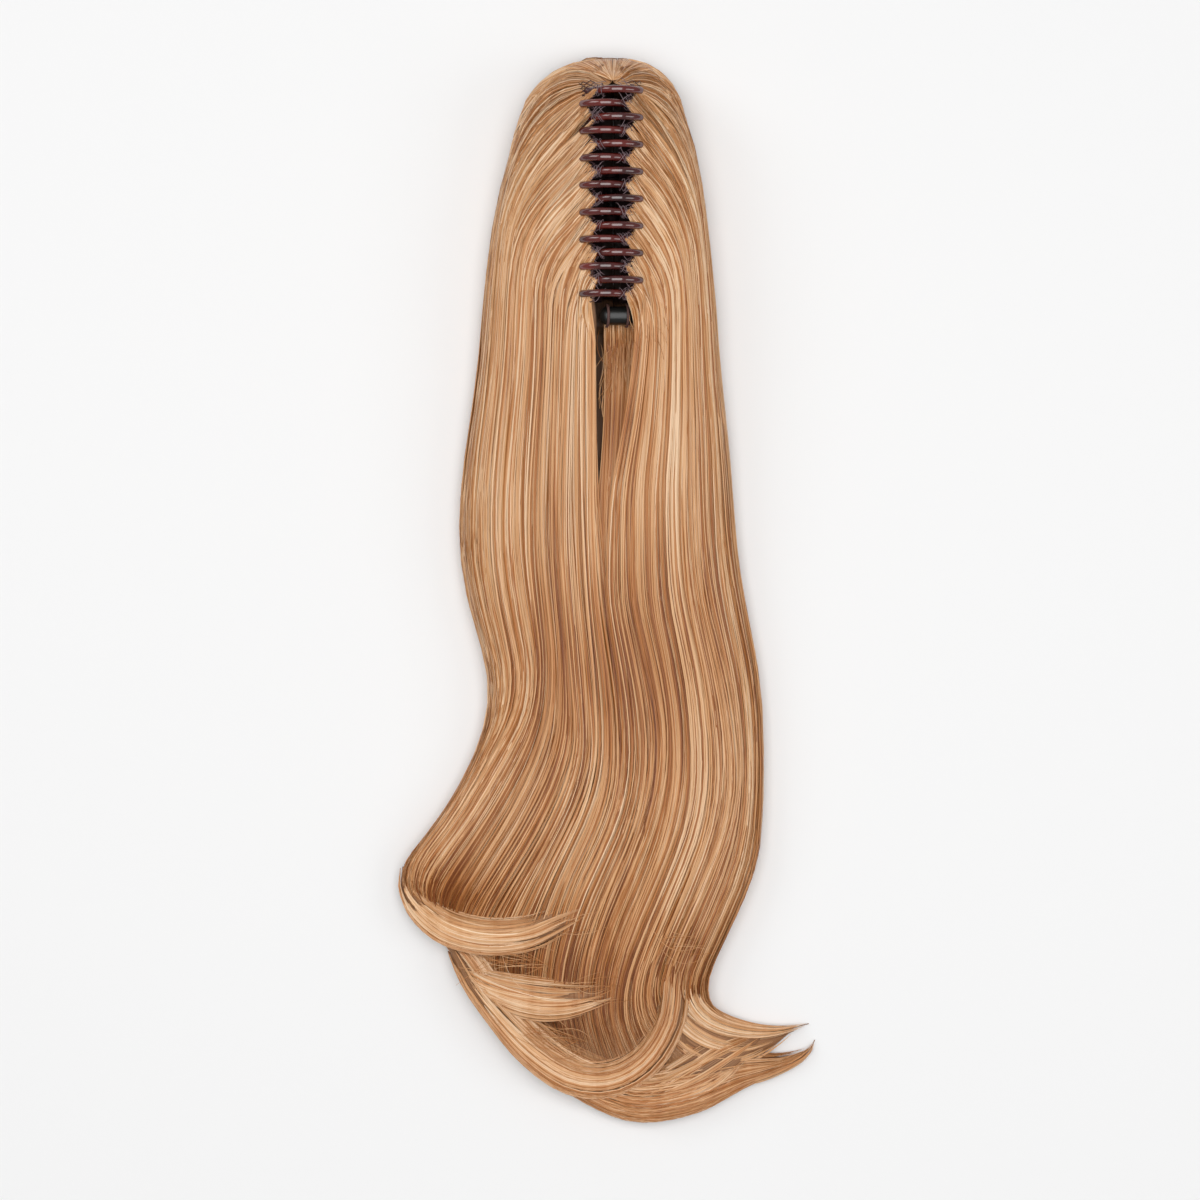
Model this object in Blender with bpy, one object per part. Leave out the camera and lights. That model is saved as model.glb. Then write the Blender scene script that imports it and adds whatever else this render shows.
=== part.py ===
"""Clip-in ponytail hairpiece: a sprung claw with two toothed jaws, a net sewn round each jaw, and
the hair that falls from the nets. It lies on its back with the teeth facing up.

Metres, +Z up. +Y runs from the curled ends towards the crown, and the floor is Z = 0. The origin
is the middle of the whole piece's footprint.
"""

import math

import bmesh
import bpy
from mathutils import Vector

# The whole piece
FULL_LENGTH = 0.532
FULL_WIDTH = 0.209

# The claw, whose two jaws pass their teeth between each other
TEETH_PER_JAW = 8
TOOTH_STEP = 0.0066
TOOTH_WIDTH = 0.0036
TOOTH_THICKNESS = 0.0029
TOOTH_SIDES = 8
CLAW_HALF_WIDTH = 0.0136
CLAW_RISE = 0.0130
HINGE_HEIGHT = 0.0240
PLATE_THICKNESS = 0.0024
PLATE_OVERHANG = 0.0030
CROWN_OVERHANG = 0.0215

# Angles round the claw's middle, in degrees: 0 is out to the jaw's own side and 90 is up
TOOTH_START = -10.0
TOOTH_LEAVES_NET = 45.0
TOOTH_CLEARS_NET = 108.0
TOOTH_END = 142.0
TOOTH_STEP_ANGLE = 25.0
TIP_ROUNDING = ((1.6, 0.86), (3.2, 0.55))
PLATE_BOTTOM = -68.0
PLATE_TOP = 8.0
PLATE_STEP_ANGLE = 12.7

# The hinge, its pin and its spring
PIN_RADIUS = 0.0010
PIN_CLEARANCE = 0.0003
PIN_HEAD_RADIUS = 0.0019
PIN_HEAD = 0.0006
ROUND_SIDES = 16
EAR_RADIUS = 0.0032
EAR_WIDTH = 0.0025
EAR_GAP = 0.0004
EAR_WEB_ANGLE = -15.0
INNER_EAR_START = 0.0065
SPRING_RADIUS = 0.0019
SPRING_WIRE = 0.0008
SPRING_TURNS = 5
SPRING_STEPS = 9
SPRING_SIDES = 5

# The finger levers
LEVER_LENGTH = 0.0180
LEVER_WIDTH = 0.0260
LEVER_THICKNESS = 0.0022
LEVER_DROP = -40.0
LEVER_BENDS = 4

# The net bands
NET_THICKNESS = 0.0009
SEAT_GAP = 0.0003
NET_ANGLES = (-58.0, -35.0, -12.0, 8.0, 16.0, 22.0, 31.0, 38.0)
NET_OPEN_ROWS = (3, 5)

# The cap at the claw's lower end, and the thread loops over it
CAP_WIDTH = 0.0175
CAP_LENGTH = 0.0090
CAP_HEIGHT = 0.0110
CAP_OFFSET = 0.0030
CAP_FLOOR = 0.0300
CAP_CORNER = 0.0032
LOOP_WIRE = 0.0013
LOOP_SIDES = 6
LOOP_REACH = 0.0050
LOOP_PLACES = (("upper_thread_loop", -0.60), ("lower_thread_loop", 0.50))

# The hair
HAIR_GAP = 0.0004
HAIR_CREST = 0.0440
BACK_LAYER = 0.0048
EDGE_HEIGHT = 0.0060
EDGE_UNDERCUT = 0.0030
LOCKS_PER_HALF = 5
LOCK_FACETS = 4
LOCK_GROOVE = 0.0016
PARTING_HALF = 0.0008
PARTING_DEPTH = 0.0030
VALLEY_FLOOR = 0.0230
VALLEY_LENGTH = 0.0790
STEP_LENGTH = 0.0005
RIGHT_HAIR_END = 0.870
LEFT_HAIR_END = 0.945
LOCK_WIDTH = 0.0220
LOCK_THICKNESS = 0.0140
LOCK_RIDGES = 3
LOCK_SPANS = 2
CUTTER_RISE = 0.0600

CLAW_MIDDLE = HINGE_HEIGHT + CLAW_RISE
FIRST_TOOTH_Y = FULL_LENGTH / 2 - CROWN_OVERHANG
LAST_TOOTH_Y = FIRST_TOOTH_Y - TOOTH_STEP * (2 * TEETH_PER_JAW - 1)
CLAW_Y = (FIRST_TOOTH_Y + LAST_TOOTH_Y) / 2
PLATE_TOP_Y = FIRST_TOOTH_Y + PLATE_OVERHANG
PLATE_END_Y = LAST_TOOTH_Y - PLATE_OVERHANG
NET_OFFSET = TOOTH_THICKNESS / 2 + SEAT_GAP
TOOTH_LIFT = NET_OFFSET + NET_THICKNESS + SEAT_GAP + TOOTH_THICKNESS / 2
TRENCH_HALF = CLAW_HALF_WIDTH + NET_OFFSET + NET_THICKNESS + SEAT_GAP
TRENCH_TOP_Y = PLATE_TOP_Y + SEAT_GAP + STEP_LENGTH
TRENCH_END_Y = PLATE_END_Y - SEAT_GAP
CAP_TOP_Y = PLATE_END_Y - 2 * SEAT_GAP - LOOP_WIRE - STEP_LENGTH
CAP_END_Y = CAP_TOP_Y - CAP_LENGTH
CAP_BAY_END_Y = CAP_END_Y - 2 * SEAT_GAP - LOOP_WIRE
VALLEY_END_Y = CAP_BAY_END_Y - VALLEY_LENGTH

# One row is one section across the hair, from the crown down: "down" is a share of FULL_LENGTH,
# the left and right edges and the seam are shares of half the FULL_WIDTH, and "crest" is a share
# of HAIR_CREST.
HAIR_SECTIONS = (
    {"down": 0.0015, "left": -0.075, "right": 0.080, "seam": 0.030, "crest": 0.30},
    {"down": 0.0075, "left": -0.211, "right": 0.187, "seam": 0.030, "crest": 0.50},
    {"down": 0.015, "left": -0.282, "right": 0.249, "seam": 0.028, "crest": 0.68},
    {"down": 0.026, "left": -0.349, "right": 0.301, "seam": 0.022, "crest": 0.84},
    {"down": 0.041, "left": -0.407, "right": 0.340, "seam": 0.010, "crest": 0.95},
    {"down": 0.070, "left": -0.459, "right": 0.383, "seam": 0.010, "crest": 1.00},
    {"down": 0.126, "left": -0.526, "right": 0.450, "seam": 0.010, "crest": 1.00},
    {"down": 0.182, "left": -0.574, "right": 0.483, "seam": 0.010, "crest": 1.00},
    {"down": 0.239, "left": -0.603, "right": 0.512, "seam": 0.010, "crest": 0.98},
    {"down": 0.295, "left": -0.622, "right": 0.526, "seam": -0.005, "crest": 0.93},
    {"down": 0.352, "left": -0.670, "right": 0.565, "seam": -0.020, "crest": 0.88},
    {"down": 0.408, "left": -0.708, "right": 0.589, "seam": -0.033, "crest": 0.82},
    {"down": 0.464, "left": -0.713, "right": 0.608, "seam": -0.030, "crest": 0.77},
    {"down": 0.521, "left": -0.660, "right": 0.660, "seam": -0.024, "crest": 0.73},
    {"down": 0.558, "left": -0.603, "right": 0.693, "seam": -0.006, "crest": 0.71},
    {"down": 0.605, "left": -0.574, "right": 0.722, "seam": 0.014, "crest": 0.69},
    {"down": 0.643, "left": -0.608, "right": 0.732, "seam": 0.038, "crest": 0.66},
    {"down": 0.680, "left": -0.699, "right": 0.730, "seam": 0.062, "crest": 0.63},
    {"down": 0.718, "left": -0.852, "right": 0.712, "seam": 0.092, "crest": 0.59},
    {"down": 0.746, "left": -0.957, "right": 0.689, "seam": 0.122, "crest": 0.55},
    {"down": 0.767, "left": -0.985, "right": 0.660, "seam": 0.146, "crest": 0.52},
    {"down": 0.789, "left": -0.925, "right": 0.626, "seam": 0.170, "crest": 0.48},
    {"down": 0.821, "left": -0.800, "right": 0.562, "seam": 0.202, "crest": 0.43},
    {"down": 0.859, "left": -0.600, "right": 0.469, "seam": 0.240, "crest": 0.39},
    {"down": 0.897, "left": -0.400, "right": 0.430, "seam": 0.250, "crest": 0.35},
    {"down": 0.935, "left": -0.180, "right": 0.420, "seam": 0.240, "crest": 0.31},
    {"down": 0.950, "left": -0.080, "right": 0.420, "seam": 0.235, "crest": 0.30},
)

# One row is one section across a lock, from where it leaves the hair to its tip: "across" is a
# share of half the FULL_WIDTH, "down" of FULL_LENGTH, "width" of LOCK_WIDTH, "thick" of
# LOCK_THICKNESS and "base" of HAIR_CREST.
UPPER_CURL = (
    {"across": -0.975, "down": 0.766, "width": 0.22, "thick": 0.35, "base": 0.10},
    {"across": -0.914, "down": 0.784, "width": 0.46, "thick": 0.55, "base": 0.16},
    {"across": -0.761, "down": 0.798, "width": 0.56, "thick": 0.62, "base": 0.25},
    {"across": -0.522, "down": 0.805, "width": 0.52, "thick": 0.55, "base": 0.33},
    {"across": -0.306, "down": 0.795, "width": 0.36, "thick": 0.38, "base": 0.37},
    {"across": -0.148, "down": 0.778, "width": 0.10, "thick": 0.14, "base": 0.40},
)
LOWER_CURL = (
    {"across": -0.800, "down": 0.830, "width": 0.24, "thick": 0.35, "base": 0.12},
    {"across": -0.703, "down": 0.848, "width": 0.52, "thick": 0.55, "base": 0.20},
    {"across": -0.522, "down": 0.867, "width": 0.64, "thick": 0.60, "base": 0.26},
    {"across": -0.306, "down": 0.874, "width": 0.50, "thick": 0.45, "base": 0.29},
    {"across": -0.091, "down": 0.863, "width": 0.12, "thick": 0.16, "base": 0.30},
)
BOTTOM_SWEEP = (
    {"across": -0.856, "down": 0.805, "width": 0.32, "thick": 0.60, "base": 0.0},
    {"across": -0.708, "down": 0.836, "width": 0.78, "thick": 1.00, "base": 0.0},
    {"across": -0.531, "down": 0.890, "width": 0.96, "thick": 1.10, "base": 0.0},
    {"across": -0.435, "down": 0.914, "width": 1.08, "thick": 1.14, "base": 0.0},
    {"across": -0.282, "down": 0.939, "width": 1.22, "thick": 1.14, "base": 0.0},
    {"across": -0.057, "down": 0.961, "width": 1.36, "thick": 1.12, "base": 0.0},
    {"across": 0.148, "down": 0.970, "width": 1.42, "thick": 1.06, "base": 0.0},
    {"across": 0.392, "down": 0.966, "width": 1.18, "thick": 0.95, "base": 0.0},
    {"across": 0.636, "down": 0.953, "width": 0.78, "thick": 0.74, "base": 0.0},
    {"across": 0.847, "down": 0.943, "width": 0.36, "thick": 0.46, "base": 0.0},
    {"across": 0.986, "down": 0.927, "width": 0.08, "thick": 0.14, "base": 0.0},
)
LOWER_FLICK = (
    {"across": 0.200, "down": 0.820, "width": 0.40, "thick": 0.95, "base": 0.0},
    {"across": 0.225, "down": 0.854, "width": 0.90, "thick": 1.00, "base": 0.0},
    {"across": 0.263, "down": 0.887, "width": 1.05, "thick": 1.00, "base": 0.0},
    {"across": 0.359, "down": 0.916, "width": 1.10, "thick": 0.92, "base": 0.0},
    {"across": 0.541, "down": 0.933, "width": 0.84, "thick": 0.76, "base": 0.0},
    {"across": 0.770, "down": 0.932, "width": 0.40, "thick": 0.50, "base": 0.0},
    {"across": 0.976, "down": 0.919, "width": 0.08, "thick": 0.14, "base": 0.0},
)
UPPER_FLICK = (
    {"across": 0.380, "down": 0.812, "width": 0.36, "thick": 1.00, "base": 0.0},
    {"across": 0.376, "down": 0.849, "width": 0.64, "thick": 1.00, "base": 0.0},
    {"across": 0.385, "down": 0.878, "width": 0.62, "thick": 0.95, "base": 0.0},
    {"across": 0.464, "down": 0.900, "width": 0.56, "thick": 0.84, "base": 0.0},
    {"across": 0.627, "down": 0.911, "width": 0.38, "thick": 0.62, "base": 0.0},
    {"across": 0.794, "down": 0.911, "width": 0.22, "thick": 0.40, "base": 0.0},
    {"across": 0.952, "down": 0.905, "width": 0.07, "thick": 0.14, "base": 0.0},
)


def clear_scene():
    for item in list(bpy.data.objects):
        bpy.data.objects.remove(item, do_unlink=True)


def finish(name, colour, roughness, metallic=0.0):
    """A Principled material with the piece's colour, roughness and metallic value."""
    material = bpy.data.materials.new(name)
    material.use_nodes = True
    shader = material.node_tree.nodes["Principled BSDF"]
    shader.inputs["Base Color"].default_value = (*colour, 1.0)
    shader.inputs["Roughness"].default_value = roughness
    shader.inputs["Metallic"].default_value = metallic
    return material


def to_object(name, mesh, material=None):
    """An object from a bmesh, with its faces turned outwards."""
    bmesh.ops.recalc_face_normals(mesh, faces=mesh.faces[:])
    data = bpy.data.meshes.new(name)
    mesh.to_mesh(data)
    mesh.free()
    item = bpy.data.objects.new(name, data)
    bpy.context.scene.collection.objects.link(item)
    if material:
        data.materials.append(material)
    return item


def add_loft(mesh, rings, closed=False):
    """Skin a list of rings of points, with flat ends unless the rings close on themselves."""
    loops = [[mesh.verts.new(point) for point in ring] for ring in rings]
    pairs = list(zip(loops, loops[1:]))
    if closed:
        pairs.append((loops[-1], loops[0]))
    for near, far in pairs:
        for i, vert in enumerate(near):
            j = (i + 1) % len(near)
            mesh.faces.new((vert, near[j], far[j], far[i]))
    if not closed:
        mesh.faces.new(loops[0])
        mesh.faces.new(loops[-1])
    bmesh.ops.triangulate(mesh, faces=mesh.faces[:])


def loft(name, rings, material=None):
    mesh = bmesh.new()
    add_loft(mesh, rings)
    return to_object(name, mesh, material)


def as_tool(item):
    """Mark an object that only cuts or joins, so that it isn't a piece."""
    item.hide_render = True
    item.display_type = "WIRE"
    return item


def combine(target, tool, operation):
    modifier = target.modifiers.new(tool.name, "BOOLEAN")
    modifier.operation = operation
    modifier.solver = "EXACT"
    modifier.use_self = True
    modifier.object = tool


def path_sides(path):
    """The unit vectors square to a path in the XZ plane, one at each of its points."""
    sides = []
    for i in range(len(path)):
        along = path[min(i + 1, len(path) - 1)] - path[max(i - 1, 0)]
        sides.append(Vector((-along.z, 0.0, along.x)).normalized())
    return sides


def wall(name, path, thickness, low_y, high_y):
    """A wall of even thickness that follows a path in XZ and runs along Y."""
    sides = path_sides(path)
    outer = [point + side * thickness / 2 for point, side in zip(path, sides)]
    inner = [point - side * thickness / 2 for point, side in zip(path, sides)]
    outline = outer + inner[::-1]
    rings = []
    for y in (low_y, high_y):
        rings.append([Vector((point.x, y, point.z)) for point in outline])
    return loft(name, rings)


def cylinder_rings(radii_at, centre):
    """Rings round an axis along Y, from pairs of a Y place and a radius."""
    rings = []
    for y, radius in radii_at:
        ring = []
        for i in range(ROUND_SIDES):
            turn = 2 * math.pi * i / ROUND_SIDES
            ring.append(centre + Vector((radius * math.cos(turn), y, radius * math.sin(turn))))
        rings.append(ring)
    return rings


def claw_point(angle, lift, side):
    """A point on the claw's oval, or outside it by lift. Side is 1 right and -1 left."""
    turn = math.radians(angle)
    x = (CLAW_HALF_WIDTH + lift) * math.cos(turn)
    z = CLAW_MIDDLE + (CLAW_RISE + lift) * math.sin(turn)
    return Vector((side * x, 0.0, z))


def hinge_point(angle, radius, side):
    turn = math.radians(angle)
    return Vector((side * radius * math.cos(turn), 0.0, HINGE_HEIGHT + radius * math.sin(turn)))


def evenly(start, end, step):
    count = max(1, round((end - start) / step))
    return [start + (end - start) * i / count for i in range(count + 1)]


def tooth_lift(angle):
    """How far a tooth stands out of the oval: it rises to pass over the other jaw's net."""
    share = (angle - TOOTH_LEAVES_NET) / (TOOTH_CLEARS_NET - TOOTH_LEAVES_NET)
    share = min(1.0, max(0.0, share))
    return TOOTH_LIFT * share * share * (3 - 2 * share)


def tooth_rings(y, side):
    stations = [(angle, 1.0) for angle in evenly(TOOTH_START, TOOTH_END, TOOTH_STEP_ANGLE)]
    stations += [(TOOTH_END + advance, size) for advance, size in TIP_ROUNDING]
    path = [claw_point(angle, tooth_lift(angle), side) for angle, _ in stations]
    rings = []
    for point, square, (_, size) in zip(path, path_sides(path), stations):
        ring = []
        for i in range(TOOTH_SIDES):
            turn = 2 * math.pi * (i + 0.5) / TOOTH_SIDES
            out = square * (size * TOOTH_THICKNESS / 2 * math.cos(turn))
            along = Vector((0.0, y + size * TOOTH_WIDTH / 2 * math.sin(turn), 0.0))
            ring.append(point + out + along)
        rings.append(ring)
    return rings


def make_teeth(name, first, side):
    mesh = bmesh.new()
    for i in range(TEETH_PER_JAW):
        y = FIRST_TOOTH_Y - TOOTH_STEP * (first + 2 * i)
        add_loft(mesh, tooth_rings(y, side))
    return as_tool(to_object(name + "_teeth", mesh))


def make_lever(name, side):
    """The finger lever: it bends round the hinge from the plate's lower edge, then runs out."""
    root = claw_point(PLATE_BOTTOM, 0.0, 1) - Vector((0.0, 0.0, HINGE_HEIGHT))
    radius = root.length
    start = math.degrees(math.atan2(root.z, root.x))
    bends = [start + (LEVER_DROP - start) * i / LEVER_BENDS for i in range(LEVER_BENDS + 1)]
    path = [hinge_point(angle, radius, side) for angle in bends]
    path.append(hinge_point(LEVER_DROP, LEVER_LENGTH, side))
    half = LEVER_WIDTH / 2
    return as_tool(wall(name + "_lever", path, LEVER_THICKNESS, CLAW_Y - half, CLAW_Y + half))


def make_ears(name, side, start):
    """The two rings that turn on the pin, each with a web out to the lever's bend."""
    tools = []
    hinge = Vector((0.0, 0.0, HINGE_HEIGHT))
    reach = claw_point(PLATE_BOTTOM, 0.0, 1) - hinge
    for end in (-1, 1):
        low, high = sorted((CLAW_Y + end * start, CLAW_Y + end * (start + EAR_WIDTH)))
        rings = cylinder_rings(((low, EAR_RADIUS), (high, EAR_RADIUS)), hinge)
        label = f"{name}_ear_{(end + 3) // 2}"
        tools.append(as_tool(loft(label, rings)))
        path = [hinge, hinge_point(EAR_WEB_ANGLE, reach.length, side)]
        tools.append(as_tool(wall(label + "_web", path, EAR_WIDTH, low, high)))
    return tools


def make_jaw(name, side, first, ear_start, material):
    plate_path = [claw_point(angle, 0.0, side)
                  for angle in evenly(PLATE_BOTTOM, PLATE_TOP, PLATE_STEP_ANGLE)]
    jaw = wall(name, plate_path, PLATE_THICKNESS, PLATE_END_Y, PLATE_TOP_Y)
    jaw.data.materials.append(material)
    combine(jaw, make_teeth(name, first, side), "UNION")
    combine(jaw, make_lever(name, side), "UNION")
    for tool in make_ears(name, side, ear_start):
        combine(jaw, tool, "UNION")
    bore_radius = PIN_RADIUS + PIN_CLEARANCE
    bore_half = LEVER_WIDTH
    bore = loft(name + "_bore", cylinder_rings(
        ((CLAW_Y - bore_half, bore_radius), (CLAW_Y + bore_half, bore_radius)),
        Vector((0.0, 0.0, HINGE_HEIGHT))))
    combine(jaw, as_tool(bore), "DIFFERENCE")
    return jaw


def make_pin(material):
    outer = INNER_EAR_START + 2 * EAR_WIDTH + EAR_GAP + PIN_CLEARANCE
    ends = outer + PIN_HEAD
    stations = (
        (CLAW_Y - ends, PIN_HEAD_RADIUS), (CLAW_Y - outer, PIN_HEAD_RADIUS),
        (CLAW_Y - outer, PIN_RADIUS), (CLAW_Y + outer, PIN_RADIUS),
        (CLAW_Y + outer, PIN_HEAD_RADIUS), (CLAW_Y + ends, PIN_HEAD_RADIUS),
    )
    return loft("hinge_pin", cylinder_rings(stations, Vector((0.0, 0.0, HINGE_HEIGHT))), material)


def tube_rings(path, radius, sides):
    """Rings round a path of points in space, kept from twisting by one reference direction."""
    rings = []
    for i, point in enumerate(path):
        along = (path[min(i + 1, len(path) - 1)] - path[max(i - 1, 0)]).normalized()
        across = along.cross(Vector((1.0, 0.0, 0.0)))
        if across.length < 0.1:
            across = along.cross(Vector((0.0, 1.0, 0.0)))
        across.normalize()
        up = across.cross(along)
        ring = []
        for k in range(sides):
            turn = 2 * math.pi * k / sides
            ring.append(point + (across * math.cos(turn) + up * math.sin(turn)) * radius)
        rings.append(ring)
    return rings


def make_spring(material):
    half = INNER_EAR_START - EAR_GAP - SPRING_WIRE / 2
    count = SPRING_TURNS * SPRING_STEPS
    rings = []
    for i in range(count + 1):
        turn = 2 * math.pi * i / SPRING_STEPS
        out = Vector((math.cos(turn), 0.0, math.sin(turn)))
        y = CLAW_Y - half + 2 * half * i / count
        centre = Vector((0.0, y, HINGE_HEIGHT)) + out * SPRING_RADIUS
        ring = []
        for k in range(SPRING_SIDES):
            bend = 2 * math.pi * k / SPRING_SIDES
            wire = out * math.cos(bend) + Vector((0.0, math.sin(bend), 0.0))
            ring.append(centre + wire * SPRING_WIRE / 2)
        rings.append(ring)
    return loft("hinge_spring", rings, material)


def make_net(name, side, material):
    """A thin curved band outside the jaw, cut through between the teeth."""
    columns = 4 * TEETH_PER_JAW - 1
    mesh = bmesh.new()
    layers = []
    for lift in (NET_OFFSET, NET_OFFSET + NET_THICKNESS):
        grid = []
        for angle in NET_ANGLES:
            line = []
            for column in range(columns + 1):
                point = claw_point(angle, lift, side)
                point.y = PLATE_END_Y + (PLATE_TOP_Y - PLATE_END_Y) * column / columns
                line.append(mesh.verts.new(point))
            grid.append(line)
        layers.append(grid)
    rows = len(NET_ANGLES) - 1

    def solid(row, column):
        if not (0 <= row < rows and 0 <= column < columns):
            return False
        return not (row in NET_OPEN_ROWS and column % 2 == 1)

    for row in range(rows):
        for column in range(columns):
            if not solid(row, column):
                continue
            corners = ((row, column), (row, column + 1), (row + 1, column + 1), (row + 1, column))
            for grid in layers:
                mesh.faces.new([grid[r][c] for r, c in corners])
            beside = ((row - 1, column), (row, column + 1), (row + 1, column), (row, column - 1))
            for i, place in enumerate(beside):
                if solid(*place):
                    continue
                (r0, c0), (r1, c1) = corners[i], corners[(i + 1) % 4]
                mesh.faces.new((layers[0][r0][c0], layers[0][r1][c1],
                                layers[1][r1][c1], layers[1][r0][c0]))
    bmesh.ops.triangulate(mesh, faces=mesh.faces[:])
    return to_object(name, mesh, material)


def make_cap(material):
    bpy.ops.mesh.primitive_cube_add(size=1.0)
    cap = bpy.context.object
    cap.name = "end_cap"
    cap.data.name = "end_cap"
    size = Vector((CAP_WIDTH, CAP_LENGTH, CAP_HEIGHT))
    middle = Vector((CAP_OFFSET, (CAP_TOP_Y + CAP_END_Y) / 2, CAP_FLOOR + CAP_HEIGHT / 2))
    for vert in cap.data.vertices:
        vert.co = Vector((vert.co.x * size.x, vert.co.y * size.y, vert.co.z * size.z)) + middle
    bevel = cap.modifiers.new("rounding", "BEVEL")
    bevel.width = CAP_CORNER
    bevel.segments = 2
    cap.data.materials.append(material)
    return cap


def make_loop(name, share, material):
    """A thread bent over the cap from its upper side to its lower side."""
    out = SEAT_GAP + LOOP_WIRE / 2
    x = CAP_OFFSET + share * CAP_WIDTH / 2
    top = CAP_FLOOR + CAP_HEIGHT
    path = [Vector((x, CAP_TOP_Y + out, top - LOOP_REACH))]
    radius = CAP_CORNER + out
    for centre_y, first in ((CAP_TOP_Y - CAP_CORNER, 0.0), (CAP_END_Y + CAP_CORNER, 90.0)):
        for bend in (0.0, 30.0, 60.0, 90.0):
            turn = math.radians(first + bend)
            path.append(Vector((x, centre_y + radius * math.cos(turn),
                                top - CAP_CORNER + radius * math.sin(turn))))
    path.append(Vector((x, CAP_END_Y - out, top - LOOP_REACH)))
    return loft(name, tube_rings(path, LOOP_WIRE / 2, LOOP_SIDES), material)


def down_to_y(share):
    return FULL_LENGTH * (0.5 - share)


def hair_at(y, column):
    """A column of HAIR_SECTIONS read at a place along the hair."""
    share = 0.5 - y / FULL_LENGTH
    rows = HAIR_SECTIONS
    if share <= rows[0]["down"]:
        return rows[0][column]
    for above, below in zip(rows, rows[1:]):
        if share <= below["down"]:
            part = (share - above["down"]) / (below["down"] - above["down"])
            return above[column] + (below[column] - above[column]) * part
    return rows[-1][column]


def valley(y, crest):
    """The inner wall's distance out and the height at its foot, at a place along the hair."""
    closed = crest - PARTING_DEPTH
    if y > TRENCH_TOP_Y - STEP_LENGTH / 2:
        crown = FULL_LENGTH / 2
        share = min(1.0, (crown - y) / (crown - TRENCH_TOP_Y))
        return PARTING_HALF + (TRENCH_HALF - PARTING_HALF) * share ** 2, closed
    if y > TRENCH_END_Y - STEP_LENGTH / 2:
        return TRENCH_HALF, BACK_LAYER
    if y > CAP_BAY_END_Y - STEP_LENGTH / 2:
        return TRENCH_HALF, CAP_FLOOR - SEAT_GAP
    share = min(1.0, max(0.0, (CAP_BAY_END_Y - y) / VALLEY_LENGTH))
    half = TRENCH_HALF + (PARTING_HALF - TRENCH_HALF) * share
    return half, VALLEY_FLOOR + (closed - VALLEY_FLOOR) * share


def hair_section(y, side):
    """One section across a half of the hair, with its locks as ridges along the top."""
    half_width = FULL_WIDTH / 2
    edge = half_width * hair_at(y, "right" if side > 0 else "left")
    seam = half_width * hair_at(y, "seam") + side * HAIR_GAP / 2
    crest = HAIR_CREST * hair_at(y, "crest")
    out, foot = valley(y, crest)
    inner = seam * (1 - out / TRENCH_HALF) + side * out
    points = [(seam, 0.0), (seam, foot), (inner, foot)]
    count = LOCKS_PER_HALF * LOCK_FACETS
    for k in range(count + 1):
        share = k / count
        dome = math.sqrt(max(0.0, 1 - share ** 2.6))
        ridge = abs(math.sin(math.pi * share * LOCKS_PER_HALF))
        height = EDGE_HEIGHT + (crest - EDGE_HEIGHT) * dome - LOCK_GROOVE * (1 - ridge)
        points.append((inner + (edge - inner) * share, height))
    points.append((edge - side * EDGE_UNDERCUT, 0.0))
    return [Vector((x, y, z)) for x, z in points]


def hair_places(end):
    """Where the sections lie: the table's rows, and the steps that the claw and cap need."""
    steps = []
    for y in (TRENCH_TOP_Y, TRENCH_END_Y, CAP_BAY_END_Y):
        steps += [y, y - STEP_LENGTH]
    steps.append(VALLEY_END_Y)
    places = list(steps)
    for row in HAIR_SECTIONS:
        y = down_to_y(row["down"])
        if row["down"] < end and min(abs(y - step) for step in steps) > 3 * STEP_LENGTH:
            places.append(y)
    places.append(down_to_y(end))
    return sorted(places, reverse=True)


def make_hair(name, side, end, material):
    return loft(name, [hair_section(y, side) for y in hair_places(end)], material)


def curve_through(rows):
    """The rows of a lock with LOCK_SPANS sections for each, on a smooth curve through them."""
    smooth = []
    for i in range(len(rows) - 1):
        four = [rows[max(i - 1, 0)], rows[i], rows[i + 1], rows[min(i + 2, len(rows) - 1)]]
        for k in range(LOCK_SPANS):
            t = k / LOCK_SPANS
            weights = (
                (-t + 2 * t ** 2 - t ** 3) / 2, (2 - 5 * t ** 2 + 3 * t ** 3) / 2,
                (t + 4 * t ** 2 - 3 * t ** 3) / 2, (-t ** 2 + t ** 3) / 2,
            )
            smooth.append({key: sum(w * row[key] for w, row in zip(weights, four))
                           for key in rows[0]})
    smooth.append(rows[-1])
    return smooth


def lock_rings(rows, gap, rise):
    """Rings along a lock. A gap widens and lowers it, and a rise carries its top straight up."""
    sections = curve_through(rows)
    path = [Vector((row["across"] * FULL_WIDTH / 2, down_to_y(row["down"]), 0.0))
            for row in sections]
    rings = []
    for i, (row, point) in enumerate(zip(sections, path)):
        along = (path[min(i + 1, len(path) - 1)] - path[max(i - 1, 0)]).normalized()
        if i == 0:
            point = point - along * gap
        if i == len(path) - 1:
            point = point + along * gap
        across = Vector((along.y, -along.x, 0.0))
        half = LOCK_WIDTH * row["width"] / 2 + gap
        base = max(0.0, HAIR_CREST * row["base"]) - gap
        thick = LOCK_THICKNESS * row["thick"]
        ring = [point - across * half + Vector((0.0, 0.0, base))]
        count = LOCK_RIDGES * LOCK_FACETS
        for k in range(count + 1):
            share = 2 * k / count - 1
            dome = 0.35 + 0.65 * math.sqrt(max(0.0, 1 - share ** 2))
            ridge = abs(math.sin(math.pi * LOCK_RIDGES * k / count))
            height = base + thick * dome * (0.88 + 0.12 * ridge)
            if rise:
                height = base + rise
            ring.append(point + across * half * share + Vector((0.0, 0.0, height)))
        ring.append(point + across * half + Vector((0.0, 0.0, base)))
        rings.append(ring)
    return rings


def make_lock(name, rows, material):
    lock = loft(name, lock_rings(rows, 0.0, 0.0), material)
    cutter = as_tool(loft(name + "_room", lock_rings(rows, HAIR_GAP, CUTTER_RISE)))
    return lock, cutter


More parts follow.
